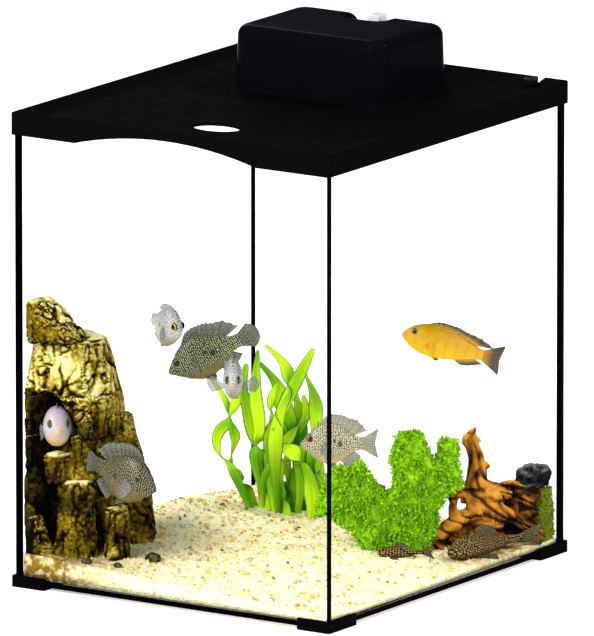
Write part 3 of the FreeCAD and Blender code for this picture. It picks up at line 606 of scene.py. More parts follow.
def smooth_line(points, steps):
    """Points along a smooth line through the given ones, each with any extra numbers."""
    out = []
    count = len(points)
    for i in range(count - 1):
        p = [points[max(0, min(count - 1, i + k))] for k in (-1, 0, 1, 2)]
        for j in range(steps):
            t = j / steps
            out.append(tuple(0.5 * (2 * b + (c - a) * t + (2 * a - 5 * b + 4 * c - d) * t * t
                                    + (3 * b - a - 3 * c + d) * t ** 3)
                             for a, b, c, d in zip(*p)))
    out.append(tuple(points[-1]))
    return out


def add_tube(bm, line, sides=14):
    """Closed round limb along (x, y, z, radius) points."""
    rings = []
    for i, (x, y, z, r) in enumerate(line):
        here = Vector((x, y, z))
        ahead = Vector(line[min(i + 1, len(line) - 1)][:3])
        back = Vector(line[max(i - 1, 0)][:3])
        turn = (ahead - back).to_track_quat("Z", "Y")
        rings.append([bm.verts.new(here + turn @ Vector((
            r * cos(2 * pi * k / sides), r * sin(2 * pi * k / sides), 0)))
            for k in range(sides)])
    for low, high in zip(rings, rings[1:]):
        for k in range(sides):
            bm.faces.new((low[k], low[(k + 1) % sides], high[(k + 1) % sides], high[k]))
    bm.faces.new(list(reversed(rings[0])))
    bm.faces.new(rings[-1])


ROOT_LIMBS = [  # each point: across, behind, z, radius, in millimetres
    [(148, 40, 44, 14), (148, 41, 58, 12), (147, 42, 71, 8.6), (145.5, 42, 84, 7.2), (142.5, 42, 92, 7),
     (142.5, 42, 97, 5.6), (145, 42, 102, 3.0), (146.3, 42, 105, 1.2)],
    [(143, 42, 91, 6), (138.5, 42, 93, 4.2)],
    [(145, 42, 97, 4.5), (149.5, 41, 96, 2.4), (152, 41, 94, 1.3)],
    [(148, 42, 76, 6), (154, 41, 75, 3), (158.5, 40, 73.7, 1.3)],
    [(148, 40, 52, 11), (160, 44, 54, 8.5), (170, 47, 55, 7), (178, 49, 54, 6), (188, 48, 52, 4.5),
     (198, 47, 53, 3)],
    [(139, 34, 46, 6), (152, 33, 44, 7.5), (165, 36, 38, 7.5), (178, 40, 30, 6.5), (190, 43, 22, 5),
     (201, 45, 16, 3)],
    [(196, 48, 52, 4), (190, 47, 42, 5), (188, 46, 32, 5), (194, 46, 22, 4)],
    [(180, 48, 52, 6), (177, 47, 42, 6), (180, 46, 32, 6), (186, 48, 14, 5)],
    [(183, 43, 47, 3.5), (191, 44, 40, 4), (196, 45, 33, 3)],
    [(138, 36, 51, 5), (150, 32, 50, 6), (162, 35, 51, 6), (174, 41, 52, 5)],
    [(146, 38, 56, 8), (138, 34, 55, 5), (131, 30, 54, 5.5), (126, 29, 54, 5), (122.5, 29, 57, 2)],
    [(129, 29, 48, 4.5), (128.5, 28, 41, 3.2), (127, 27, 34, 5), (123, 24, 28, 7), (118, 20, 20, 7.5),
     (117, 18, 10, 8)],
    [(146, 36, 34, 8), (136, 31, 33, 6.5), (127, 27, 31, 6)],
    [(116, 16, 21, 6), (126, 20, 29, 6.5), (138, 26, 36, 7), (148, 31, 40, 8)],
    [(150, 38, 30, 12), (150, 36, 18, 12), (150, 32, 9, 12)],
    [(124, 30, 20, 9), (140, 42, 26, 13), (158, 48, 28, 14), (172, 51, 26, 11), (186, 51, 22, 7)],
    [(140, 42, 12, 10), (158, 48, 12, 12), (174, 51, 12, 9)],
    [(164, 44, 26, 10), (165, 44, 12, 10)],
    [(180, 48, 22, 7), (181, 48, 10, 7)],
    [(134, 29, 20, 9), (132, 27, 9, 9)],
]


def driftwood():
    bm = bmesh.new()
    for limb in ROOT_LIMBS:
        line = []
        for across, behind, z, radius in smooth_line(limb, 5):
            spot = place(across, behind, z)
            line.append((spot.x, spot.y, spot.z, radius * MM))
        add_tube(bm, line)
    mesh = bpy.data.meshes.new("driftwood_root")
    bm.to_mesh(mesh)
    bm.free()
    mesh = carve(remeshed(mesh, 0.9 * MM), wood_relief, 0.4, 0.45)
    piece("driftwood_root", mesh, "tank", ["driftwood"], [wood_paint()])


def tufts(mesh_points, name, count, length, width, seed, tones):
    """Many small curled leaflets standing on (point, normal) pairs."""
    dice = random.Random(seed)
    verts, faces, tone, across = [], [], [], []
    for _ in range(count):
        root, normal = dice.choice(mesh_points)
        lean = (normal + Vector([dice.uniform(-0.9, 0.9) for _ in range(3)])).normalized()
        side = lean.cross(Vector([dice.uniform(-1, 1) for _ in range(3)])).normalized()
        size = length * dice.uniform(0.55, 1.25)
        half = width * dice.uniform(0.6, 1.3)
        bend = side.cross(lean) * size * dice.uniform(-0.35, 0.35)
        shade = dice.uniform(*tones)
        faces += sheet_faces(4, 3, len(verts))
        for along, share in ((-0.25, 0.5), (0.35, 1.0), (0.8, 0.75), (1.0, 0.15)):
            middle = root + lean * size * along + bend * along * along
            for edge in (-1, 0, 1):
                fold = side.cross(lean) * (0.35 * half * share * (1 - abs(edge)))
                verts.append(middle + side * (edge * half * share) + fold)
                tone.append(min(1.0, max(0.0, shade + 0.35 * along)))
                across.append(edge * 0.5)
    return new_mesh(name, verts, faces, tone=tone, across=across)


def thicken(mesh, amount):
    """Gives open leaves a real thickness."""
    return modified(mesh, "SOLIDIFY", thickness=amount, offset=0.0)


def join_meshes(name, meshes):
    bm = bmesh.new()
    for mesh in meshes:
        bm.from_mesh(mesh)
    made = bpy.data.meshes.new(name)
    bm.to_mesh(made)
    bm.free()
    return made


def bush_relief(point, normal):
    lump = cloud(point, 0.01)
    move = (2.6 * lump + 1.2 * cloud(point, 0.0035)) * MM
    # painted light and shade: lighter on bulges and on faces that look up, darker in hollows
    return move, 0.42 + 0.5 * lump + 0.22 * normal.z


def bush(node, paint, count, length, width, seed):
    """Crinkled plant: a lumpy heart under a coat of leaflets."""
    heart = carve(remeshed(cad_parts[node].data.copy(), 1.4 * MM), bush_relief)
    points = [(vertex.co.copy(), vertex.normal.copy()) for vertex in heart.vertices
              if vertex.co.z > WATER_LO.z + 8 * MM]
    heart.attributes.new("across", "FLOAT", "POINT")
    coat = thicken(tufts(points, node + "_leaflets", count, length, width, seed, (0.15, 0.75)), 0.25 * MM)
    for vertex in coat.vertices:
        keep_in(vertex.co)
    mesh = join_meshes(node + "_leafy", [heart, coat])
    piece(node + "_leafy", mesh, "tank", [node], [paint])


STRAPS = [  # width, behind, where it turns over (0 to 1), tone shift, (across, z) from foot to tip
    (10.5, 112, (0.4, 0.72), 0.15, [(-26, 11), (-36, 33), (-44, 50), (-48, 58), (-56, 67), (-59, 77),
     (-56, 86), (-49, 94), (-51, 108), (-57, 120), (-64, 130)]),
    (9.5, 116, (0.1, 0.62), 0.05, [(-48, 58), (-46, 70), (-44, 80), (-46, 88), (-49, 96), (-45, 106),
     (-42, 116), (-40, 128)]),
    (16.0, 108, (0.52,), 0.1, [(-15, 10), (-20, 30), (-24, 48), (-26, 66), (-26, 80), (-25, 93), (-28, 122),
     (-26, 154)]),
    (14.0, 119, (0.45,), 0.0, [(-18, 10), (-22, 38), (-25, 60), (-32, 92), (-38, 120), (-35, 140)]),
    (14.0, 104, (0.66,), 0.2, [(-9, 10), (-12, 50), (-12, 86), (-7, 108), (-1, 126), (-6, 143),
     (-20, 157)]),
    (16.0, 117, (0.42,), -0.1, [(4, 10), (8, 44), (7, 74), (2, 89), (-6, 107), (-12, 124), (-25, 140)]),
    (17.0, 101, (0.55,), 0.22, [(-8, 10), (-14, 40), (-17, 72), (-12, 91), (-5, 110), (5, 131), (18, 157)]),
    (12.0, 121, (0.6,), -0.12, [(10, 10), (11, 40), (10, 64), (9, 87), (3, 121)]),
    (13.0, 110, (0.5,), 0.05, [(18, 10), (18, 44), (17, 71), (20, 92), (19, 113), (12, 132)]),
    (15.0, 98, (0.58,), 0.25, [(14, 9), (17, 30), (15, 52), (7, 68), (-3, 74), (-15, 80)]),
    (15.0, 114, (), -0.1, [(2, 9), (4, 34), (6, 58), (9, 76)]),
    (15.0, 106, (), -0.15, [(-9, 9), (-11, 36), (-15, 62), (-18, 78)]),
    (14.0, 118, (), -0.2, [(19, 9), (21, 30), (21, 54), (24, 68)]),
    (16.0, 122, (), -0.3, [(-3, 9), (-4, 24), (-2, 36), (2, 46)]),
    (12.0, 113, (0.7,), -0.05, [(-22, 10), (-30, 26), (-38, 42), (-43, 56)]),
    (11.0, 123, (0.5,), -0.05, [(12, 30), (6, 56), (-2, 84), (-6, 100)]),
    (11.0, 109, (0.62,), 0.1, [(-24, 20), (-20, 48), (-6, 76), (6, 92)]),
    (12.0, 107, (0.35, 0.75), 0.15, [(-20, 10), (-17, 34), (-20, 60), (-13, 84), (-16, 110), (-10, 128)]),
    (12.0, 113, (0.45,), 0.1, [(6, 10), (2, 36), (-3, 60), (4, 82), (12, 98), (10, 116)]),
    (11.0, 100, (0.3, 0.7), 0.2, [(-2, 10), (-4, 30), (-10, 50), (-8, 72), (-14, 92)]),
    (10.0, 103, (0.5,), -0.05, [(22, 10), (24, 34), (21, 56), (25, 78), (22, 96)]),
]


def strap_plant():
    """Ribbon leaves, each folded a little along its middle and turning as it rises."""
    verts, faces, tone, across = [], [], [], []
    columns = 5
    for width, behind, turns, shift, outline in STRAPS:
        line = smooth_line(outline, 8)
        faces += sheet_faces(len(line), columns, len(verts))
        for i, (u, z) in enumerate(line):
            t = i / (len(line) - 1)
            before, after = line[max(0, i - 1)], line[min(len(line) - 1, i + 1)]
            way = (ALONG * (after[0] - before[0]) + UP * (after[1] - before[1])).normalized()
            flat = way.cross(BEHIND).normalized()
            angle = 0.3 * sin(9 * t + behind) + sum(pi / (1 + exp(-(t - at) * 24)) for at in turns)
            side = flat * cos(angle) + BEHIND * sin(angle)
            face = way.cross(side).normalized()
            narrow = min(1.0, 0.5 + 1.6 * t) * min(1.0, 0.12 + 3.6 * (1 - t)) ** 0.8
            narrow *= 0.74 + 0.16 * sin(15 * t + behind)
            middle = place(u, behind + 5 * sin(4 * t + behind), z)
            for k in range(columns):
                edge = 2 * k / (columns - 1) - 1
                wave = 0.35 * sin(26 * t + edge * 1.5) * abs(edge)
                verts.append(middle + side * (edge * width / 2 * narrow * MM)
                             + face * ((1.1 * (1 - abs(edge)) + wave) * MM))
                # painted light and shade: the sine terms make lit and shaded stretches along each leaf; the
                # tone also rises towards the tip
                tone.append(min(1.0, max(0.0, 0.34 + shift + 0.46 * t - 0.12 * (1 - abs(edge))
                                         + 0.36 * sin(11 * t + 0.7 * behind)
                                         + 0.1 * edge * sin(23 * t))))
                across.append(edge)
    mesh = thicken(new_mesh("strap_plant_leaves", verts, faces, tone=tone, across=across), 0.6 * MM)
    paint = leaf_paint("strap_leaf", (0.6, 0.94, 0.01), (0.022, 0.3, 0.001), 11.0)
    piece("strap_plant_leaves", mesh, "tank", ["strap_plant"], [paint])


# ---- sand -----------------------------------------------------------------------------

HALF_WIDE, HALF_DEEP = 0.14325, 0.16575     # inside the panes


def sand_height(x, y):
    """Millimetres over the table, as the bed is poured: x and y in metres."""
    left = (0.5 - x / (2 * HALF_WIDE)) * (0.62 - 0.22 * y / HALF_DEEP)
    mound = exp(-((x + 0.12) / 0.062) ** 2 - ((y - 0.045) / 0.07) ** 2)
    return WATER_LO.z / MM + 5.0 + 19.0 * left + 9.0 * mound


def painted_shade_at(x, y):
    """Painted shade on the bed: how dark and brown it turns at the foot of the rocks and round the root."""
    rocks_foot = 1.35 * exp(-((x + 0.135) / 0.06) ** 2 - ((y + 0.155) / 0.055) ** 2)
    root_foot = 1.2 * exp(-((x - 0.124) / 0.026) ** 2 - ((y - 0.1) / 0.06) ** 2)
    return min(1.0, rocks_foot + root_foot)


def sand_bed():
    columns, rows = 150, 170
    lo, hi = WATER_LO, WATER_HI
    verts, faces = [], sheet_faces(rows + 1, columns + 1)
    for j in range(rows + 1):
        for i in range(columns + 1):
            x = lo.x + (hi.x - lo.x) * i / columns
            y = lo.y + (hi.y - lo.y) * j / rows
            at = Vector((x, y, 0))
            rough = 1.1 * cloud(at, 0.019) + 0.7 * cloud(at, 0.006) + 0.5 * cloud(at, 0.0024)
            verts.append((x, y, (sand_height(x, y) + rough - 0.6) * MM))
    edge = list(range(columns + 1))
    edge += [j * (columns + 1) + columns for j in range(1, rows + 1)]
    edge += [rows * (columns + 1) + i for i in range(columns - 1, -1, -1)]
    edge += [j * (columns + 1) for j in range(rows - 1, 0, -1)]
    base = len(verts)
    for index in edge:
        verts.append((verts[index][0], verts[index][1], lo.z))
    for k in range(len(edge)):
        n = (k + 1) % len(edge)
        faces.append((edge[n], edge[k], base + k, base + n))
    faces.append([base + k for k in range(len(edge) - 1, -1, -1)])
    # the tone carries the painted shade at the foot of the rocks and round the root
    mesh = new_mesh("sand_bed_poured", verts, faces, tone=[painted_shade_at(x, y) for x, y, z in verts])
    piece("sand_bed_poured", mesh, "tank", ["sand_bed"], [sand_paint()])


GRAIN_COLORS = [
    ((0.99, 0.97, 0.8), 8), ((0.96, 0.8, 0.3), 9), ((0.9, 0.56, 0.12), 7),
    ((0.7, 0.36, 0.06), 2), ((0.52, 0.42, 0.16), 3), ((0.22, 0.17, 0.07), 1)]


def grains():
    """Loose coarse grains on the sand."""
    dice = random.Random(11)
    lo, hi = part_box("sand_bed")
    colors = [color for color, weight in GRAIN_COLORS for _ in range(weight)]
    bm = bmesh.new()
    bmesh.ops.create_icosphere(bm, subdivisions=1, radius=1.0)
    ball = [vertex.co.copy() for vertex in bm.verts]
    ball_faces = [[vertex.index for vertex in face.verts] for face in bm.faces]
    bm.free()
    verts, faces, tint = [], [], []
    for _ in range(5200):
        x = dice.uniform(lo.x + 2 * MM, hi.x - 2 * MM)
        y = dice.uniform(lo.y + 2 * MM, hi.y - 2 * MM)
        if cloud(Vector((x, y, 0)), 0.018) + 0.5 * dice.random() < 0.05 + 1.2 * x:
            continue
        size = MM * (0.6 + 1.5 * dice.random() ** 3)
        turn = Matrix.Rotation(dice.uniform(0, 6.28), 3, Vector((dice.random(), dice.random(), 1)))
        shape = Vector((dice.uniform(0.8, 1.5), dice.uniform(0.7, 1.1), dice.uniform(0.5, 0.8)))
        middle = Vector((x, y, (sand_height(x, y) - 0.4) * MM + 0.2 * size))
        color = dice.choice(colors)
        # painted shade darkens the grains at the foot of the rocks and round the root; the rest is a random
        # change
        light = dice.uniform(0.8, 1.1) * (1 - 0.45 * painted_shade_at(x, y))
        start = len(verts)
        for corner in ball:
            spot = Vector((corner.x * shape.x, corner.y * shape.y, corner.z * shape.z))
            verts.append(middle + turn @ (spot * size * dice.uniform(0.85, 1.15)))
            tint.extend([min(1.0, c * light) for c in color] + [1.0])
        faces += [[start + k for k in face] for face in ball_faces]
    mesh = new_mesh("sand_grains", verts, faces)
    add_layer(mesh, "tint", tint, "FLOAT_COLOR")
    piece("sand_grains", mesh, "tank", [], [grains_paint()])


# ---- fish ------------------------------------------------------------------------------

def profile(table, t):
    """Value on a smooth curve through (t, value) points."""
    for (t0, v0), (t1, v1) in zip(table, table[1:]):
        if t <= t1:
            f = (t - t0) / (t1 - t0)
            return v0 + (v1 - v0) * (0.65 * f + 0.175 * (1 - cos(pi * f)))
    return table[-1][1]


CICHLID = {
    "top": [(0, 0.015), (0.05, 0.1), (0.12, 0.215), (0.21, 0.345), (0.32, 0.445), (0.44, 0.48),
            (0.58, 0.44), (0.72, 0.315), (0.84, 0.2), (0.93, 0.15), (1, 0.155)],
    "bottom": [(0, -0.045), (0.05, -0.11), (0.12, -0.2), (0.24, -0.34), (0.37, -0.44),
               (0.5, -0.46), (0.63, -0.4), (0.76, -0.27), (0.87, -0.165), (0.94, -0.14),
               (1, -0.145)],
    "width": [(0, 0.1), (0.05, 0.36), (0.12, 0.62), (0.24, 0.92), (0.36, 1.0), (0.52, 0.92),
              (0.7, 0.6), (0.86, 0.3), (1, 0.1)],
    "dorsal": (0.25, 0.86, 0.12, 0.24), "spike": 0.1, "anal": (0.62, 0.86, 0.15, 0.1),
    "tail": (0.3, 0.06, 0.2), "eye": (0.155, 0.125, 0.095), "pectoral": (0.31, -0.1, 0.16),
    "pelvic": (0.36, 0.16), "body": 0.8}
SLIM = {
    "top": [(0, 0.02), (0.05, 0.18), (0.12, 0.32), (0.22, 0.43), (0.38, 0.49), (0.55, 0.46),
            (0.7, 0.35), (0.85, 0.22), (1, 0.15)],
    "bottom": [(0, -0.06), (0.05, -0.18), (0.12, -0.3), (0.25, -0.42), (0.42, -0.46),
               (0.6, -0.4), (0.75, -0.29), (0.9, -0.18), (1, -0.15)],
    "width": CICHLID["width"], "dorsal": (0.24, 0.88, 0.07, 0.14), "spike": 0.14,
    "anal": (0.66, 0.92, 0.09, 0.12), "tail": (0.44, 0.16, 0.08), "eye": (0.135, 0.16, 0.1),
    "pectoral": (0.3, -0.12, 0.11), "pelvic": (0.4, 0.06), "body": 0.8}
PLECO = {
    "top": [(0, 0.02), (0.05, 0.2), (0.14, 0.36), (0.26, 0.47), (0.42, 0.46), (0.62, 0.3),
            (0.82, 0.16), (1, 0.1)],
    "bottom": [(0, -0.16), (0.05, -0.34), (0.14, -0.44), (0.3, -0.48), (0.48, -0.46),
               (0.66, -0.34), (0.84, -0.2), (1, -0.14)],
    "width": [(0, 0.35), (0.05, 0.7), (0.14, 0.95), (0.28, 1.0), (0.42, 0.86), (0.62, 0.52),
              (0.82, 0.26), (1, 0.1)],
    "dorsal": (0.34, 0.58, 0.42, 0.22), "spike": 0.0, "anal": (0.66, 0.78, 0.14, 0.14),
    "tail": (0.5, 0.28, 0.1), "eye": (0.17, 0.26, 0.09), "pectoral": (0.26, -0.3, 0.2),
    "pelvic": (0.5, 0.14), "body": 0.78}


SCALE_PITCH = 1.25 * MM


class FishMesh:
    """Collects a fish's faces with where they are on its skin."""

    def __init__(self):
        self.verts, self.faces, self.kind = [], [], []
        self.skin, self.scale_at, self.tone, self.across, self.tint = [], [], [], [], []

    def add(self, verts, faces, kind, skin=None, tone=None, across=None, tint=None, rows=None):
        start, count = len(self.verts), len(verts)
        self.verts += verts
        self.faces += [[start + k for k in face] for face in faces]
        self.kind += [kind] * len(faces)
        self.skin += skin or [(0, 0, 0)] * count
        rows = rows or [(v.x, v.z) for v in verts]
        self.scale_at += [(x / SCALE_PITCH, z / SCALE_PITCH, 0.0) for x, z in rows]
        self.tone += tone or [0.0] * count
        self.across += across or [0.0] * count
        self.tint += tint or [(0, 0, 0, 1)] * count

    def mesh(self, name):
        mesh = new_mesh(name, self.verts, self.faces)
        for label, values, kind in (("skin", self.skin, "FLOAT_VECTOR"),
                                    ("scale_at", self.scale_at, "FLOAT_VECTOR"),
                                    ("tone", self.tone, "FLOAT"), ("across", self.across, "FLOAT"),
                                    ("tint", self.tint, "FLOAT_COLOR")):
            flat = values if kind == "FLOAT" else [c for value in values for c in value]
            add_layer(mesh, label, flat, kind)
        return mesh


def fin_sheet(fish, line, outward, kind=1, rows=7, thick=0.35, spiny=0.0, teeth=16):
    """Fin from a root line: outward(s) is how far each point of the root reaches, as a vector."""
    count = len(line)
    verts, tone, across = [], [], []
    for side in (-1, 1):
        for r in range(rows + 1):
            f = r / rows
            for i, root in enumerate(line):
                s = i / (count - 1)
                reach = outward(s)
                notch = 1 - spiny * f * abs(sin(pi * teeth * s))
                ripple = 0.3 * MM * sin(2 * pi * 11 * s) * f
                half = thick * MM * (1 - 0.85 * f) / 2
                verts.append(root + reach * f * notch + Vector((0, side * half + ripple, 0)))
                tone.append(f)
                across.append(s)
    layer = (rows + 1) * count
    faces = sheet_faces(rows + 1, count, flip=True) + sheet_faces(rows + 1, count, layer)
    rim = [r * count for r in range(rows)] + [rows * count + i for i in range(count - 1)]
    rim += [r * count + count - 1 for r in range(rows, 0, -1)] + list(range(count - 1, 0, -1))
    for a, b in zip(rim, rim[1:] + rim[:1]):
        faces.append((a, b, layer + b, layer + a))
    fish.add(verts, faces, kind, tone=tone, across=across)


def body_skin(made, form, length, height, width):
    """The closed body: a ring of points round each step from the nose to the tail root."""
    nose, run = length / 2, form["body"] * length
    rings, sides = 64, 36
    verts, skin, rows, faces = [], [], [], []
    for i in range(rings + 1):
        t = i / rings
        top, bottom = profile(form["top"], t) * height, profile(form["bottom"], t) * height
        half = profile(form["width"], t) * width / 2
        middle, tall = (top + bottom) / 2, (top - bottom) / 2
        gill = 1 + 0.045 * exp(-((t - 0.285) / 0.018) ** 2) * (1 if t < 0.285 else 0.3)
        for k in range(sides):
            a = 2 * pi * k / sides
            cy, cz = sin(a), cos(a)
            y = half * copysign(abs(cy) ** 0.92, cy) * (gill if abs(cz) < 0.8 else 1)
            z = middle + tall * copysign(abs(cz) ** 1.05, cz)
            mouth = exp(-((z + 0.25 * t * height) / (0.022 * height)) ** 2)
            y *= 1 - 0.55 * mouth * max(0.0, 1 - t / 0.075)
            verts.append(Vector((nose - t * run, y, z)))
            skin.append((t * form["body"], y / width, z / height))
            rows.append((t * run, tall * cz + copysign(half * (1 - abs(cy)), cz)))
            if i < rings:
                n = (k + 1) % sides
                faces.append((i * sides + k, (i + 1) * sides + k, (i + 1) * sides + n, i * sides + n))
    faces.append(tuple(range(sides)))
    faces.append(tuple(rings * sides + k for k in range(sides - 1, -1, -1)))
    made.add(verts, faces, 0, skin=skin, rows=rows)


def middle_fins(made, form, length, height):
    """The dorsal and anal fins along the body's edges, and the tail."""
    nose, run = length / 2, form["body"] * length

    def edge(t0, t1, table):
        return [Vector((nose - t * run, 0, profile(form[table], t) * height * 0.94))
                for t in [t0 + (t1 - t0) * i / 26 for i in range(27)]]

    t0, t1, front, rear = form["dorsal"]
    spike = form["spike"]
    fin_sheet(made, edge(t0, t1, "top"),
              lambda s: Vector((-(0.03 + 0.05 * s + spike * max(0, s - 0.72) * 3) * length, 0,
                                (0.06 + front * min(1, s * 6)
                                 + (rear - front) * s) * height * (1 - 0.62 * max(0, s - 0.86) / 0.14))),
              spiny=0.1, teeth=13)
    t0, t1, low, deep = form["anal"]
    fin_sheet(made, edge(t0, t1, "bottom"),
              lambda s: Vector((-(0.04 + 0.04 * s) * length, 0,
                                -(0.05 + low * min(1, s * 5) * (1 - 0.5 * s)
                                  + deep * s * (1 - s)) * height)))
    spread, fork, round_off = form["tail"]
    tail_x, root = nose - 0.955 * run, 0.11 * height
    base = [Vector((tail_x, 0, root * (1 - 2 * i / 26))) for i in range(27)]
    reach = length - (nose - tail_x)
    fin_sheet(made, base,
              lambda s: Vector((-reach * (1 - fork * (1 - abs(2 * s - 1) ** 1.4)
                                          - round_off * abs(2 * s - 1) ** 3), 0,
                                (1 - 2 * s) * (spread * height - root))), rows=9)


def side_fins(made, form, length, height, width, side, fan):
    nose, run = length / 2, form["body"] * length
    t, z, size_out = form["pectoral"]
    at = Vector((nose - t * run, side * profile(form["width"], t) * width * 0.46, z * height))
    out = Vector((-0.8, side * 0.62 * fan, -0.1)) * size_out * length * fan
    line = [at + Vector((0, 0, (0.5 - i / 12) * 0.11 * height)) for i in range(13)]
    fin_sheet(made, line, lambda s: out * (1 - 0.3 * abs(2 * s - 1) ** 2)
              + Vector((0, 0, (0.5 - s) * 0.3 * height)), kind=2, rows=5, thick=0.25)
    t, size_out = form["pelvic"]
    at = Vector((nose - t * run, side * 0.14 * width, profile(form["bottom"], t) * height * 0.93))
    line = [at - Vector((0.06 * length * i / 10, 0, 0)) for i in range(11)]
    fin_sheet(made, line, lambda s: Vector((-(0.85 + 0.15 * s), side * 0.25, -0.45 + 0.35 * s))
              * size_out * length * (1 - 0.5 * s), rows=5, thick=0.3)


def eyeball(made, form, length, height, width, side, iris):
    """Half a flattened ball: black pupil, coloured iris and dark rim."""
    t, z, radius = form["eye"]
    ball, pupil, rim = radius * height, (0.003, 0.003, 0.003, 1), (0.02, 0.016, 0.01, 1)
    at = Vector((length / 2 - t * form["body"] * length,
                 side * (profile(form["width"], t) * width / 2 - 0.42 * ball), z * height))
    rings, sides = 10, 20
    verts, tint, faces = [], [], []
    for i in range(rings + 1):
        polar = pi * i / (2 * rings)
        flat = ball * sin(polar)
        for k in range(sides):
            a = 2 * pi * k / sides
            verts.append(at + Vector((flat * cos(a), side * 0.62 * ball * cos(polar), flat * sin(a))))
            tint.append(pupil if i / rings < 0.42 else (*iris, 1) if i / rings < 0.62 else rim)
            if i < rings:
                n = (k + 1) % sides
                quad = (i * sides + k, i * sides + n, (i + 1) * sides + n, (i + 1) * sides + k)
                faces.append(quad if side < 0 else tuple(reversed(quad)))
    made.add(verts, faces, 3, tint=tint)


def fish(node, body, slot, form, size, heading, rise, paints, iris, bend=0.0, fan=1.0):
    """Builds a fish in the box of its CAD node. size is its length, height and width in millimetres."""
    length, height, width = (value * MM for value in size)
    made = FishMesh()
    body_skin(made, form, length, height, width)
    middle_fins(made, form, length, height)
    for side in (-1, 1):
        side_fins(made, form, length, height, width, side, fan)
        eyeball(made, form, length, height, width, side, iris)
    for vertex in made.verts:
        behind = max(0.0, 0.1 * length - vertex.x)
        vertex.y += bend * behind * behind / length
    mesh = made.mesh(node + "_scaled")
    mesh.transform(Matrix.Rotation(radians(heading), 4, "Z") @ Matrix.Rotation(radians(-rise), 4, "Y"))
    middle = Vector([(min(v.co[i] for v in mesh.vertices) + max(v.co[i] for v in mesh.vertices)) / 2
                     for i in range(3)])
    lo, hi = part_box(node)
    mesh.transform(Matrix.Translation((lo + hi) / 2 - middle))
    for vertex in mesh.vertices:
        keep_in(vertex.co)
        vertex.co.z = max(vertex.co.z, (sand_height(vertex.co.x, vertex.co.y) - 1.5) * MM)
    piece(node + "_scaled", mesh, body, [node], paints)
    for polygon, kind in zip(mesh.polygons, made.kind):
        polygon.material_index = kind


